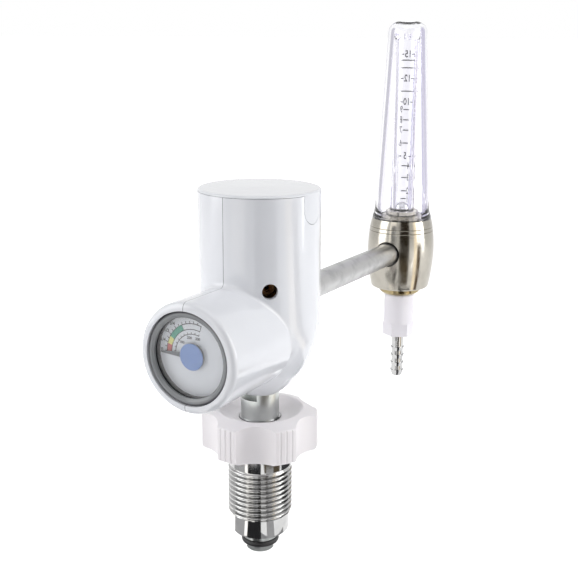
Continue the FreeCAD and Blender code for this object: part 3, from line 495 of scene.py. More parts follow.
@dataclass(frozen=True)
class Ink:
    """Printed or painted colour, with the slight unevenness of its film."""

    name: str
    colour: Colour
    roughness: float = 0.45
    dulling: float = 0.1

    THIN_GAIN: ClassVar[float] = 1.12
    THIN_LIFT: ClassVar[float] = 0.012

    def material(self) -> bpy.types.Material:
        """Build the finish.

        Returns:
            The material.
        """
        sheet = FinishSheet(self.name)
        film = sheet.noise(size=0.6, detail=3.0)
        thin = tuple(min(1.0, part * self.THIN_GAIN + self.THIN_LIFT) for part in self.colour)
        sheet.set(Base_Color=sheet.blend(film.step(low=0.4, high=0.9), self.colour, thin),
                  Roughness=self.roughness + film * self.dulling)
        sheet.bump(film, depth=0.003)
        return sheet.material


class FinishBook:
    """Every finish, each built once when a piece first asks for it."""

    FINISHES: ClassVar[tuple[Any, ...]] = (
        PartedMoulding("white_gloss", (0.845, 0.86, 0.90), (0.825, 0.84, 0.885), 0.13, 0.004, 0.35),
        Moulding("lid_gloss", (0.845, 0.86, 0.90), (0.825, 0.84, 0.885), 0.13, 0.004, 0.35),
        Moulding("wheel_satin", (0.955, 0.925, 0.945), (0.935, 0.90, 0.925), 0.30, 0.006),
        Moulding("nut_satin", (0.95, 0.925, 0.975), (0.93, 0.905, 0.955), 0.32, 0.006),
        Moulding("knob_satin", (0.78, 0.785, 0.80), (0.76, 0.765, 0.785), 0.30, 0.008),
        Moulding("hub_blue", (0.135, 0.235, 0.50), (0.15, 0.25, 0.52), 0.33, 0.004),
        Moulding("seat_plastic", (0.62, 0.58, 0.46), (0.58, 0.54, 0.43), 0.35, 0.006),
        Moulding("case_paint", (0.12, 0.125, 0.135), (0.15, 0.155, 0.165), 0.34, 0.006, 0.3),
        RimmedMoulding("bezel_paint", (0.22, 0.232, 0.245), (0.18, 0.19, 0.20), 0.30, 0.006, 0.3),
        Moulding("dial_sheet", (0.66, 0.685, 0.72), (0.64, 0.665, 0.70), 0.30, 0.002),
        WorkedMetal("bright_plate", (0.50, 0.50, 0.495), (0.44, 0.44, 0.44), 0.07, Grain.TURNED_UPRIGHT),
        WorkedMetal("warm_nickel", (0.40, 0.38, 0.335), (0.36, 0.34, 0.30), 0.13, Grain.TURNED_UPRIGHT),
        SocketedMetal("block_nickel", (0.40, 0.38, 0.335), (0.36, 0.34, 0.30), 0.13, Grain.TURNED_UPRIGHT),
        WorkedMetal("stem_steel", (0.52, 0.54, 0.53), (0.46, 0.48, 0.47), 0.28, Grain.TURNED_UPRIGHT),
        WorkedMetal("tube_steel", (0.47, 0.47, 0.47), (0.39, 0.39, 0.395), 0.27, Grain.DRAWN_LEVEL,
                    0.5, 0.01, 0.2),
        WorkedMetal("turned_brass", (0.72, 0.53, 0.27), (0.60, 0.42, 0.20), 0.22, Grain.TURNED_UPRIGHT),
        WorkedMetal("brass_level", (0.72, 0.53, 0.27), (0.60, 0.42, 0.20), 0.22, Grain.TURNED_LEVEL),
        WorkedMetal("aged_brass", (0.32, 0.265, 0.15), (0.22, 0.17, 0.09), 0.14, Grain.TURNED_UPRIGHT),
        WorkedMetal("dark_brass", (0.26, 0.14, 0.06), (0.16, 0.08, 0.035), 0.30, Grain.TURNED_LEVEL),
        WorkedMetal("spring_wire", (0.50, 0.50, 0.51), (0.42, 0.42, 0.44), 0.30, Grain.CAST),
        WorkedMetal("ball_steel", (0.66, 0.66, 0.68), (0.60, 0.60, 0.62), 0.06, Grain.CAST, 0.3, 0.001, 0.04),
        WorkedMetal("sintered_bronze", (0.42, 0.29, 0.16), (0.30, 0.20, 0.11), 0.5, Grain.CAST, 0.2, 0.05),
        ClearPart("clear_moulding", (0.975, 0.972, 0.995), 1.49, 0.01),
        ClearPart("clear_window", (0.99, 0.99, 0.995), 1.46, 0.001, 0.005),
        ClearPart("drawn_tube", (0.985, 0.985, 0.995), 1.47, 0.004),
        Elastomer(),
        Ink("print_black", (0.02, 0.02, 0.024)),
        Ink("print_grey", (0.10, 0.11, 0.12)),
        Ink("zone_red", (0.52, 0.09, 0.08)),
        Ink("zone_yellow", (0.74, 0.72, 0.24)),
        Ink("zone_green", (0.07, 0.34, 0.24)),
    )
    _built: ClassVar[dict[str, bpy.types.Material]] = {}

    @classmethod
    def get(cls, name: str) -> bpy.types.Material:
        """The material of a finish, by its name."""
        if name not in cls._built:
            cls._built[name] = next(item for item in cls.FINISHES if item.name == name).material()
        return cls._built[name]


def grid_faces(rows: int, columns: int, wrap_rows: bool = False) -> np.ndarray:
    """The quads of a grid of points numbered row by row.

    Each quad joins point (i, j) to (i, j + 1), (i + 1, j + 1) and (i + 1, j). A row goes on from its
    last point to its first.

    Args:
        rows: Points along the first parameter.
        columns: Points along the second parameter, which closes on itself.
        wrap_rows: Whether the first parameter does too.

    Returns:
        One row of four point numbers for each quad.
    """
    row = np.arange(rows if wrap_rows else rows - 1)
    i, j = (part.ravel() for part in np.meshgrid(row, np.arange(columns), indexing="ij"))
    i_next, j_next = (i + 1) % rows, (j + 1) % columns
    return np.stack([i * columns + j, i * columns + j_next, i_next * columns + j_next,
                     i_next * columns + j], axis=1)


def bar_faces(sections: int) -> np.ndarray:
    """The faces of a bar whose sections have four corners, with both of its ends closed.

    Args:
        sections: How many sections it has, numbered along it.

    Returns:
        One row of four point numbers for each face.
    """
    last = 4 * (sections - 1)
    caps = np.array([[3, 2, 1, 0], [last, last + 1, last + 2, last + 3]])
    return np.vstack([grid_faces(sections, 4), caps])


def mesh_piece(name: str, points: np.ndarray, faces: Sequence[Sequence[int]], finish: str, body: str,
               replaces: Sequence[str] = (), crease: float = 35.0) -> bpy.types.Object:
    """Make one piece from points in millimetres.

    Args:
        name: The piece's name.
        points: One row of x, y, z for each point.
        faces: Point numbers of each face, outwards.
        finish: The finish's name.
        body: The CAD body it rides on.
        replaces: CAD nodes that it stands for.
        crease: Edges sharper than this many degrees stay sharp.

    Returns:
        The piece's object, at the origin.
    """
    mesh = bpy.data.meshes.new(name)
    mesh.from_pydata((np.asarray(points, float) * METRE).tolist(), [],
                     [[int(number) for number in face] for face in faces])
    mesh.validate()
    mesh.shade_smooth()
    mesh.set_sharp_from_angle(angle=math.radians(crease))
    mesh.materials.append(FinishBook.get(finish))
    piece = bpy.data.objects.new(name, mesh)
    bpy.context.scene.collection.objects.link(piece)
    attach(piece, body)
    if replaces:
        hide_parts(*replaces)
    LOG.info("piece %s: %d points", name, len(mesh.vertices))
    return piece


class Assembly:
    """What every sub-assembly has: the finishes of its CAD nodes and its own new pieces."""

    FINISH_OF: ClassVar[dict[str, str]] = {}

    def dress(self) -> None:
        """Give each of its CAD nodes its finish."""
        for node, finish in self.FINISH_OF.items():
            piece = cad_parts[node]
            piece.data.materials.clear()
            piece.data.materials.append(FinishBook.get(finish))
            LOG.info("node %s: %s", node, finish)

    def build(self) -> None:
        """Make its new pieces."""


@dataclass
class Inlet(Assembly):
    """The threaded bush, stem, nose and handwheel.

    The thread's flat is the share of its triangle wave that is cut off at each tip. Its runout is a
    length along the axis, which stops runout_end below thread_high.
    """

    FINISH_OF: ClassVar[dict[str, str]] = {
        "inlet_stem": "stem_steel", "nose_seal": "seal_rubber", "retaining_clip": "spring_wire",
        "inlet_filter": "sintered_bronze", "handwheel": "wheel_satin", "threaded_bush": "bright_plate"}

    crest: float = 11.455
    depth: float = 1.162
    pitch: float = 1.814
    neck: float = 10.42
    collar: float = 11.05
    foot: float = -7.7
    chamfer: float = 0.8
    chamfer_in: float = 0.6
    thread_low: float = -0.9
    thread_high: float = 18.0
    before_thread: float = 0.05
    after_thread: float = 0.1
    lead: float = 0.9
    flat: float = 0.14
    runout: float = 1.2
    runout_end: float = 0.1
    top: float = 34.5
    bore: float = 6.83
    shoulder_bore: float = 7.98
    shoulder_top: float = -3.62
    segments: int = 192
    rows_per_turn: int = 16
    crease: float = 50.0

    def build(self) -> None:
        """Make the bush with its cut thread: a closed profile, turned round Z, whose one side is cut."""
        rows = int(round((self.thread_high - self.thread_low) / self.pitch * self.rows_per_turn))
        height = np.linspace(self.thread_low, self.thread_high, rows)
        turn = np.linspace(0.0, FULL_TURN, self.segments, endpoint=False)
        cut = self._thread(height[:, None], turn[None, :])
        below = np.array([
            (self.shoulder_bore, self.foot), (self.neck - self.chamfer_in, self.foot),
            (self.neck, self.foot + self.chamfer), (self.neck, self.thread_low - self.before_thread)])
        above = np.array([
            (self.collar, self.thread_high + self.after_thread), (self.collar, self.top),
            (self.bore, self.top), (self.bore, self.shoulder_top), (self.shoulder_bore, self.shoulder_top)])
        radius = np.vstack([np.repeat(below[:, :1], self.segments, 1), cut,
                            np.repeat(above[:, :1], self.segments, 1)])
        level = np.concatenate([below[:, 1], height, above[:, 1]])[:, None]
        points = np.stack([radius * np.cos(turn), radius * np.sin(turn), level + 0.0 * radius], axis=2)
        mesh_piece("cut_thread_bush", points.reshape(-1, 3),
                   grid_faces(len(level), self.segments, wrap_rows=True), "bright_plate",
                   "inlet_union", ["threaded_bush"], self.crease)

    def _thread(self, height: np.ndarray, turn: np.ndarray) -> np.ndarray:
        """The radius of a right-hand rounded thread.

        The ridge's phase is the height over the pitch less the share of a turn. A triangle wave of it,
        with its tips cut off and rounded by a cosine, goes from the root to the crest. Below, a cone
        cuts the crests for the lead-in. Above, root and crest run out into the collar's radius.

        Args:
            height: Heights along the axis, as a column.
            turn: Angles round it, as a row.

        Returns:
            One radius for each height and angle.
        """
        phase = np.mod(height / self.pitch - turn / FULL_TURN, 1.0)
        flank = np.clip((1.0 - np.abs(2.0 * phase - 1.0) - self.flat) / (1.0 - 2.0 * self.flat), 0.0, 1.0)
        ridge = 0.5 - 0.5 * np.cos(np.pi * flank)
        radius = self.crest - self.depth * (1.0 - ridge)
        cone = self.neck + (self.crest - self.neck) * (height - self.thread_low) / self.lead
        radius = np.minimum(radius, np.maximum(cone, self.crest - self.depth))
        start = self.thread_high - self.runout_end - self.runout
        ending = np.clip((height - start) / self.runout, 0.0, 1.0)
        ending = ending * ending * (3.0 - 2.0 * ending)
        return radius + (self.collar - radius) * ending


@dataclass
class Housing(Assembly):
    """The white covers, the lid and the cover screws."""

    FINISH_OF: ClassVar[dict[str, str]] = {
        "cover_right": "white_gloss", "cover_left": "white_gloss", "top_lid": "lid_gloss",
        "cover_screws": "spring_wire"}


@dataclass
class Reducer(Assembly):
    """The brass valve body and all that works in it."""

    FINISH_OF: ClassVar[dict[str, str]] = {
        "valve_body": "turned_brass", "bonnet": "turned_brass", "preset_screw": "turned_brass",
        "spring_plate": "turned_brass", "piston": "turned_brass", "piston_seal": "seal_rubber",
        "main_spring": "spring_wire", "valve_seat": "turned_brass", "poppet": "turned_brass",
        "poppet_seal": "seat_plastic", "push_pin": "stem_steel", "poppet_spring": "spring_wire",
        "relief_valve": "dark_brass"}

    plate: float = 105.3
    travel: float = 0.8

    def build(self) -> None:
        """Give the main spring a mesh of its own."""
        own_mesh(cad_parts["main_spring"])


@dataclass
class Gauge(Assembly):
    """The dial gauge, with its printed dial as raised ink.

    Angles are degrees from +X towards +Z, round the gauge axis. The scale runs down from zero to end
    between band_in and band_out, and the counts stand inside the inner arc. A tick is twice its half
    wide, and end_bar and zone_bar are the widths of the bars across the band, all in degrees.
    """

    FINISH_OF: ClassVar[dict[str, str]] = {
        "gauge_case": "case_paint", "gauge_bezel": "bezel_paint", "gauge_window": "clear_window",
        "window_ring": "seal_rubber", "gauge_dial": "dial_sheet", "pointer_hub": "case_paint",
        "hub_cap": "hub_blue", "pointer": "print_grey", "gauge_arbor": "stem_steel",
        "movement_plate": "brass_level", "gauge_socket": "brass_level", "bourdon_tube": "brass_level"}

    height: float = 68.2
    face: float = -38.4
    film: float = 0.03
    band_out: float = 10.6
    band_in: float = 8.5
    inner_arc: float = 7.2
    zero: float = 180.0
    end: float = 73.0
    band_line: float = 0.26
    inner_line: float = 0.24
    inner_lead: float = 4.0
    end_bar: float = 1.4
    zone_bar: float = 0.9
    tick: float = 0.7
    tick_half: float = 0.6
    tick_step: float = 8.2
    inner_tick: float = 0.5
    inner_tick_half: float = 0.8
    inner_tick_stop: float = 1.0
    inner_tick_count: int = 10
    fraction_out: float = 1.9
    fraction_size: float = 1.55
    count_in: float = 1.25
    count_size: float = 1.3
    bold: float = 0.035
    facet: float = 2.5
    zones: tuple[tuple[str, float, float], ...] = (
        ("zone_red", 179.0, 165.0), ("zone_yellow", 165.0, 150.0), ("zone_green", 150.0, 115.0))
    fractions: tuple[tuple[str, float], ...] = (("0", 179.0), ("1/4", 163.5), ("1/2", 147.0), ("3/4", 131.0))
    counts: tuple[tuple[str, float], ...] = (("100", 140.0), ("200", 106.0), ("300", 75.0))

    def build(self) -> None:
        """Print the dial."""
        for finish, start, end in self.zones:
            self._print(finish, [self._sector(self.band_in, self.band_out, start, end)])
        zone_end = self.zones[-1][2]
        inner_start = self.zero - self.inner_lead
        lines = [self._sector(self.band_out - self.band_line, self.band_out, self.zero, self.end),
                 self._sector(self.band_in, self.band_in + self.band_line, self.zero, self.end),
                 self._sector(self.band_in, self.band_out, self.end + self.end_bar, self.end),
                 self._sector(self.band_in, self.band_out, zone_end + self.zone_bar, zone_end),
                 self._sector(self.inner_arc - self.inner_line, self.inner_arc, inner_start, self.end)]
        half = self.tick_half
        lines += [self._sector(self.band_out, self.band_out + self.tick, at + half, at - half)
                  for at in np.arange(self.zero - half, self.end, -self.tick_step)]
        half = self.inner_tick_half
        lines += [self._sector(self.inner_arc, self.inner_arc + self.inner_tick, at + half, at - half)
                  for at in np.linspace(inner_start, self.end + self.inner_tick_stop, self.inner_tick_count)]
        lines += [self._words(word, self.band_out + self.fraction_out, at, self.fraction_size)
                  for word, at in self.fractions]
        lines += [self._words(word, self.inner_arc - self.count_in, at, self.count_size)
                  for word, at in self.counts]
        self._print("print_black", lines)

    def _sector(self, inner: float, outer: float, start: float, end: float) -> Shape:
        """A flat ring sector with a little thickness.

        Point (i, j) is at angle start + (end - start) i / n; j runs round the four corners of the
        section, inner and outer at the back, then outer and inner at the front.

        Args:
            inner: The inner radius.
            outer: The outer radius.
            start: The angle where it starts.
            end: The smaller angle where it ends.

        Returns:
            Points and faces.
        """
        count = max(3, int(abs(end - start) / self.facet) + 2)
        angle = np.radians(np.linspace(start, end, count))[:, None]
        radius = np.array([inner, outer, outer, inner])[None, :]
        depth = np.array([0.0, 0.0, -self.film, -self.film])[None, :] + 0.0 * angle
        points = np.stack([radius * np.cos(angle), self.face + depth,
                           self.height + radius * np.sin(angle)], axis=2)
        return points.reshape(-1, 3), bar_faces(count)

    def _words(self, text: str, radius: float, angle: float, size: float) -> Shape:
        """Plain figures, upright on the dial.

        Args:
            text: The figures.
            radius: Where their middle is from the gauge axis.
            angle: The angle of their middle.
            size: Their height as set.

        Returns:
            Points and faces.
        """
        flat, faces = figure_mesh(text, size, self.film, self.bold)
        middle = radius * np.array([math.cos(math.radians(angle)), math.sin(math.radians(angle))])
        points = np.stack([flat[:, 0] + middle[0], self.face - flat[:, 2],
                           self.height + flat[:, 1] + middle[1]], axis=1)
        return points, faces

    def _print(self, finish: str, shapes: Sequence[Shape]) -> None:
        """Join shapes of one ink into a piece on the dial."""
        points, faces = join_shapes(shapes)
        mesh_piece("dial_" + finish, points, faces, finish, "housing")


def figure_mesh(text: str, size: float, thickness: float, bold: float) -> Shape:
    """Figures as a solid mesh in their own plane.

    Args:
        text: Plain figures.
        size: Their height as set, in millimetres.
        thickness: How thick the ink is.
        bold: How far each stroke is spread.

    Returns:
        Points (right, up, out) round the middle of the figures, and the faces.
    """
    curve = bpy.data.curves.new("figures", "FONT")
    curve.body = text
    curve.size = size
    curve.extrude = thickness / 2.0
    curve.resolution_u = 3
    curve.offset = bold
    curve.align_x = "CENTER"
    curve.align_y = "CENTER"
    holder = bpy.data.objects.new("figures", curve)
    mesh = bpy.data.meshes.new_from_object(holder)
    points = np.zeros(len(mesh.vertices) * 3)
    mesh.vertices.foreach_get("co", points)
    faces = [list(face.vertices) for face in mesh.polygons]
    bpy.data.objects.remove(holder)
    bpy.data.curves.remove(curve)
    bpy.data.meshes.remove(mesh)
    points = points.reshape(-1, 3)
    points[:, 2] += thickness / 2.0
    return points, faces


def join_shapes(shapes: Sequence[Shape]) -> Shape:
    """Make several shapes one, the later ones' point numbers moved up.

    Args:
        shapes: Points and faces of each.

    Returns:
        Points and faces of all.
    """
    points = np.vstack([shape[0] for shape in shapes])
    starts = np.cumsum([0] + [len(shape[0]) for shape in shapes])
    faces = [[int(number) + int(start) for number in face]
             for (_, group), start in zip(shapes, starts) for face in group]
    return points, faces


@dataclass
class OutletArm(Assembly):
    """The outlet tube, flowmeter block, lock ring, nut and hose barb."""

    FINISH_OF: ClassVar[dict[str, str]] = {
        "outlet_tube": "tube_steel", "flow_block": "block_nickel", "lock_ring": "aged_brass",
        "outlet_stub": "turned_brass", "outlet_nut": "nut_satin", "hose_barb": "bright_plate",
        "outlet_washer": "seal_rubber", "needle_gland": "turned_brass", "needle": "stem_steel",
        "flow_knob": "knob_satin"}


@dataclass
class Flowmeter(Assembly):
    """The clear cover, the flow tube with its printed scale, and the float.

    The scale's marks are (figures, share of its height, side): -1 and 1 set the figures beside a
    short mark, to the right or the left as the photo shows it, and 0 sets them between two marks.
    Ends of marks are millimetres round the tube from the scale's middle, which is an angle in degrees
    from +X, and more is further left in the photo.
    """

    FINISH_OF: ClassVar[dict[str, str]] = {
        "clear_cover": "clear_moulding", "cover_seal": "seal_rubber", "flow_seat": "warm_nickel",
        "flow_tube": "drawn_tube", "tube_cap": "clear_moulding", "float_ball": "ball_steel"}

    axis: float = 116.6
    radius: float = 5.22
    film: float = 0.03
    low: float = 96.4
    high: float = 158.3
    middle: float = 106.0
    left: float = 3.2
    right: float = -2.6
    marks: tuple[tuple[str, float, float], ...] = (
        ("1", 0.0, -1.0), ("2", 0.056, -1.0), ("3", 0.150, -1.0), ("4", 0.233, -1.0), ("5", 0.302, 0.0),
        ("6", 0.392, 1.0), ("7", 0.482, 1.0), ("8", 0.553, 1.0), ("9", 0.623, 1.0), ("10", 0.676, 0.0),
        ("12", 0.835, 0.0), ("15", 0.998, 0.0))
    plain: tuple[float, ...] = (0.749, 0.907, 0.958)
    short_mark: tuple[float, float] = (-1.7, 1.9)
    left_mark: tuple[float, float] = (2.3, 4.4)
    right_mark: tuple[float, float] = (-5.0, -2.3)
    long_mark: tuple[float, float] = (-5.0, 4.4)
    fine_mark: tuple[float, float] = (4.3, 5.0)
    mark_width: float = 0.5
    fine_width: float = 0.34
    fine_low: float = -0.03
    fine_top: float = 0.42
    fine_count: int = 26
    mark_points: int = 9
    figure_size: float = 4.1
    bold: float = 0.09

    def build(self) -> None:
        """Print the flow scale on the far side of the flow tube."""
        shapes = []
        for word, share, side in self.marks:
            level = self._level(share)
            if side:
                shapes.append(self._tick(level, self.short_mark, self.mark_width))
                shapes.append(self._figures(word, level, self.left if side > 0 else self.right))
            else:
                shapes += [self._tick(level, ends, self.mark_width)
                           for ends in (self.left_mark, self.right_mark)]
                shapes.append(self._figures(word, level, 0.0))
        shapes += [self._tick(self._level(share), self.long_mark, self.mark_width) for share in self.plain]
        shapes += [self._tick(self._level(share), self.fine_mark, self.fine_width)
                   for share in np.linspace(self.fine_low, self.fine_top, self.fine_count)]
        points, faces = join_shapes(shapes)
        mesh_piece("flow_scale", points, faces, "print_black", "housing")

    def _level(self, share: float) -> float:
        """The height of a share of the scale."""
        return self.low + (self.high - self.low) * share

    def _wrap(self, across: np.ndarray, up: np.ndarray, out: np.ndarray) -> np.ndarray:
        """Lay flat ink on the tube: the distance across becomes an angle round the tube's far side.

        Args:
            across: Distances round the tube from the scale's middle.
            up: Heights.
            out: Distances outwards from the tube's wall.

        Returns:
            Points in the CAD frame.
        """
        angle = across / self.radius + math.radians(self.middle)
        reach = self.radius + out
        return np.stack([reach * np.cos(angle), self.axis + reach * np.sin(angle), up], axis=-1)

    def _tick(self, level: float, ends: tuple[float, float], width: float) -> Shape:
        """A mark round the tube: a thin bar whose section's four corners go along its arc.

        Args:
            level: Its height.
            ends: Where it starts and ends round the tube.
            width: How wide it is up the tube.

        Returns:
            Points and faces.
        """
        across = np.linspace(*ends, self.mark_points)[:, None]
        up = level + width * np.array([-0.5, 0.5, 0.5, -0.5])[None, :] + 0.0 * across
        out = self.film * np.array([0.0, 0.0, 1.0, 1.0])[None, :] + 0.0 * across
        points = self._wrap(across + 0.0 * up, up, out)
        return points.reshape(-1, 3), bar_faces(self.mark_points)

    def _figures(self, text: str, level: float, shift: float) -> Shape:
        """Figures on the tube's far side that read right from outside."""
        flat, faces = figure_mesh(text, self.figure_size, self.film, self.bold)
        return self._wrap(shift + flat[:, 0], flat[:, 1] + level, flat[:, 2]), faces


@dataclass(frozen=True)
class Lamp:
    """A soft box: its bearing from the camera's side in degrees, then metres, then watts."""

    name: str
    angle: float
    distance: float
    height: float
    wide: float
    tall: float
    power: float


@dataclass(frozen=True)
class Card:
    """A card for metal to mirror: it lies on the floor as a wedge and stands up at its far end.

    Its bearing and spread are degrees from the camera's side as seen from the point (0, row) in
    millimetres. All its other sizes are metres: near and far are its ends from there, low and high are
    where the upright part starts and ends, and lift is how far the wedge lies above the floor, so that
    of two cards that overlap the higher one shows. A card with low equal to high is only the wedge.
    Gloss and metal mirror it. With through it isn't mirrored, and shows only through clear pieces.
    """

    name: str
    row: float
    angle: float
    spread: float
    near: float
    far: float
    low: float
    high: float
    colour: Colour
    strength: float = 1.0
    through: bool = False
    lift: float = 0.0004


@dataclass
class Studio:
    """The floor, soft light, cards for the metal to mirror, and the camera.

    The camera's place and the floor's level are millimetres, and its focal length and the picture's
    width are pixels. The heading is the level direction that it looks in. The point that the lamps
    look at and the floor's reach are metres.
    """

    camera: Place = (177.5, -281.1, 166.3)
    heading: tuple[float, float] = (-0.508, 0.861)
    pitch: float = 14.3
    roll: float = 0.3
    focal: float = 1000.0
    width: float = 578.0
    sensor: float = 36.0
    floor_level: float = -16.0
    surround_light: float = 0.33
    floor_glow: float = 0.76
    floor_reach: float = 40.0
    floor_colour: Colour = (0.90, 0.90, 0.91)
    near_clip: float = 0.01
    middle: Place = (0.0, 0.04, 0.08)

    FLOW_ROW: ClassVar[float] = 116.6
    FLAT: ClassVar[float] = -0.0152
    LAMPS: ClassVar[tuple[Lamp, ...]] = (
        Lamp("soft_left", -82.0, 0.62, 0.28, 0.40, 0.60, 2.0),
        Lamp("soft_right", 76.0, 0.66, 0.30, 0.34, 0.60, 2.0),
        Lamp("strip_right", 87.0, 0.60, 0.10, 0.05, 0.60, 0.55),
        Lamp("soft_top", 10.0, 0.12, 0.80, 0.55, 0.55, 1.1))
    CARDS: ClassVar[tuple[Card, ...]] = (
        Card("thread_dark", 0.0, -19.0, 46.0, 0.008, 0.105, FLAT, FLAT,
             (0.03, 0.03, 0.032), lift=0.0008),
        Card("thread_grey_left", 0.0, -78.0, 50.0, 0.008, 0.105, FLAT, FLAT,
             (0.62, 0.62, 0.63), lift=0.0008),
        Card("thread_grey_right", 0.0, 36.0, 26.0, 0.008, 0.09, FLAT, FLAT,
             (0.60, 0.60, 0.61), lift=0.0008),
        Card("nose_left", 0.0, -45.0, 90.0, 0.0, 0.02, FLAT, FLAT, (0.34, 0.34, 0.35), lift=0.0006),
        Card("nose_right", 0.0, 45.0, 90.0, 0.0, 0.02, FLAT, FLAT, (0.44, 0.44, 0.45), lift=0.0006),
        Card("barb_dark", FLOW_ROW, 12.0, 48.0, 0.01, 0.125, FLAT, FLAT, (0.07, 0.07, 0.075), lift=0.0006),
        Card("block_dark", FLOW_ROW, 6.0, 34.0, 0.30, 0.80, -0.01, 0.70, (0.04, 0.03, 0.018)),
        Card("block_low", FLOW_ROW, 6.0, 34.0, 0.13, 0.30, -0.016, -0.016, (0.15, 0.12, 0.08)),
        Card("block_white", FLOW_ROW, -37.0, 22.0, 0.10, 0.85, -0.01, 0.70, (1.0, 0.98, 0.95), 2.2),
        Card("block_gold", FLOW_ROW, 46.0, 12.0, 0.10, 0.85, -0.01, 0.70, (1.0, 0.88, 0.70), 2.2),
        Card("block_brown", FLOW_ROW, 59.0, 13.0, 0.10, 0.85, -0.01, 0.70, (0.16, 0.10, 0.05)),
        Card("edge_left", FLOW_ROW, -132.0, 46.0, 0.12, 0.9, -0.01, 0.6, (0.56, 0.55, 0.62), 1.0, True),
        Card("edge_right", FLOW_ROW, 128.0, 50.0, 0.12, 0.9, -0.01, 0.6, (0.58, 0.56, 0.70), 1.0, True),
        Card("strip_right", 0.0, 63.0, 3.0, 0.20, 0.60, 0.05, 0.5, (1.0, 1.0, 1.0), 5.0))

    def build(self) -> None:
        """Set the stage."""
        scene = bpy.context.scene
        scene.view_settings.view_transform = "Standard"
        self._world(scene)
        self._floor()
        for lamp in self.LAMPS:
            self._lamp(lamp)
        for card in self.CARDS:
            self._card(card)
        self._camera(scene)

    def _bearing(self, angle: float, distance: float, height: float) -> Vector:
        """A place round the part.

        Args:
            angle: Degrees to the right of the camera's side.
            distance: Metres from the axis.
            height: Metres up.

        Returns:
            The place, in metres.
        """
        turn = math.radians(angle)
        ahead = Vector((*self.heading, 0.0))
        right = Vector((self.heading[1], -self.heading[0], 0.0))
        spot = -ahead * math.cos(turn) + right * math.sin(turn)
        return Vector((spot.x * distance, spot.y * distance, height))

    def _world(self, scene: bpy.types.Scene) -> None:
        """A white surround where it is seen, and a softer one as light.

        Args:
            scene: The scene that it surrounds.
        """
        world = bpy.data.worlds.new("surround")
        sheet = NodeSheet(world)
        level = sheet.node("ShaderNodeMix", inputs={0: sheet.direct_ray(), 2: self.surround_light, 3: 1.0})
        glow = sheet.node("ShaderNodeBackground", inputs={"Color": (1.0, 1.0, 1.0, 1.0),
                                                          "Strength": level.outputs[0]})
        sheet.node("ShaderNodeOutputWorld", inputs={"Surface": glow.outputs[0]})
        scene.world = world

    def _floor(self) -> None:
        """A pale floor that glows where it is seen, so that it is white but for the soft shadow."""
        reach, level = self.floor_reach, self.floor_level * METRE
        mesh = bpy.data.meshes.new("floor")
        corners = [(-reach, -reach), (reach, -reach), (reach, reach), (-reach, reach)]
        mesh.from_pydata([(*corner, level) for corner in corners], [], [(0, 1, 2, 3)])
        floor = bpy.data.objects.new("floor", mesh)
        bpy.context.scene.collection.objects.link(floor)
        sheet = FinishSheet("floor_paper")
        sheet.set(Base_Color=(*self.floor_colour, 1.0), Roughness=0.9, Specular_IOR_Level=0.1)
        lit = sheet.node("ShaderNodeEmission", inputs={"Color": (1.0, 1.0, 1.0, 1.0),
                                                       "Strength": self.floor_glow})
        both = sheet.node("ShaderNodeAddShader", inputs={0: sheet.shader.outputs[0], 1: lit.outputs[0]})
        choice = sheet.node("ShaderNodeMixShader", inputs={0: sheet.direct_ray(), 1: sheet.shader.outputs[0],
                                                           2: both.outputs[0]})
        sheet.feed(sheet.output.inputs["Surface"], choice.outputs[0])
        mesh.materials.append(sheet.material)

    def _lamp(self, lamp: Lamp) -> None:
        """A soft box that looks at the middle of the part.

        Args:
            lamp: Its sizes.
        """
        data = bpy.data.lights.new(lamp.name, "AREA")
        data.shape = "RECTANGLE"
        data.size, data.size_y = lamp.wide, lamp.tall
        data.energy = lamp.power
        made = bpy.data.objects.new(lamp.name, data)
        made.location = self._bearing(lamp.angle, lamp.distance, lamp.height)
        aim = Vector(self.middle) - made.location
        made.rotation_euler = aim.to_track_quat("-Z", "Y").to_euler()
        bpy.context.scene.collection.objects.link(made)

    def _card(self, card: Card) -> None:
        """A folded card that the camera and matt surfaces don't see and that throws no shadow.

        Args:
            card: Its sizes.
        """
        floor = self.floor_level * METRE + card.lift
        middle = Vector((0.0, card.row * METRE, 0.0))
        points = [middle + self._bearing(card.angle + side * card.spread, reach, height)
                  for reach, height in ((card.near, floor), (card.far, floor), (card.far, card.low),
                                        (card.far, card.high)) for side in (-0.5, 0.5)]
        mesh = bpy.data.meshes.new(card.name)
        mesh.from_pydata(points, [], [(0, 1, 3, 2), (4, 5, 7, 6)])
        made = bpy.data.objects.new(card.name, mesh)
        made.visible_camera = False
        made.visible_diffuse = False
        made.visible_shadow = False
        made.visible_transmission = card.through
        made.visible_glossy = not card.through
        sheet = FinishSheet(card.name)
        glow = sheet.node("ShaderNodeEmission", inputs={"Color": (*card.colour, 1.0),
                                                        "Strength": card.strength})
        sheet.feed(sheet.output.inputs["Surface"], glow.outputs[0])
        mesh.materials.append(sheet.material)
        bpy.context.scene.collection.objects.link(made)

    def _camera(self, scene: bpy.types.Scene) -> None:
        """The camera at the photograph's viewing angle.

        Args:
            scene: The scene that it looks at.
        """
        data = bpy.data.cameras.new("camera")
        data.sensor_width = self.sensor
        data.lens = self.focal / self.width * self.sensor
        camera = bpy.data.objects.new("camera", data)
        drop = math.radians(self.pitch)
        ahead, side = (part * math.cos(drop) for part in self.heading)
        look = Vector((ahead, side, -math.sin(drop)))
        turn = look.to_track_quat("-Z", "Y").to_matrix() @ Matrix.Rotation(math.radians(self.roll), 3, "Z")
        camera.rotation_euler = turn.to_euler()
        camera.location = Vector(self.camera) * METRE
        data.clip_start = self.near_clip
        scene.collection.objects.link(camera)
        scene.camera = camera


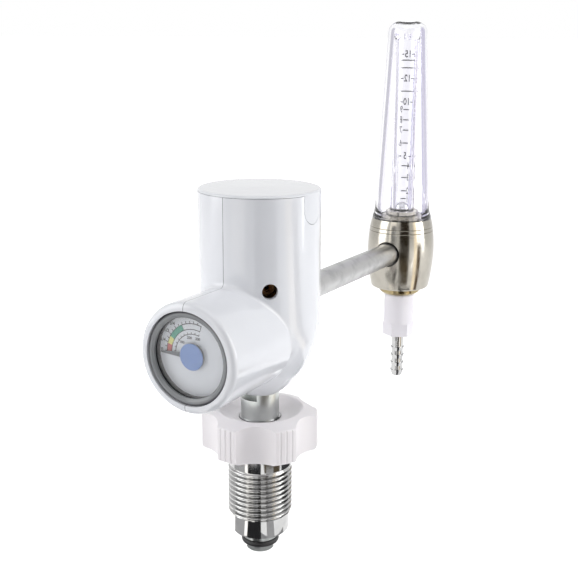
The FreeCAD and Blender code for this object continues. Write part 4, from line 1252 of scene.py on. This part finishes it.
def main() -> None:
    """Build and dress the sub-assemblies in order, then the studio."""
    logging.basicConfig(level=logging.INFO, format="%(message)s")
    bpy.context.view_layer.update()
    for assembly in (Inlet(), Housing(), Reducer(), Gauge(), OutletArm(), Flowmeter()):
        assembly.dress()
        assembly.build()
    Studio().build()


if __name__ == "__main__":
    main()
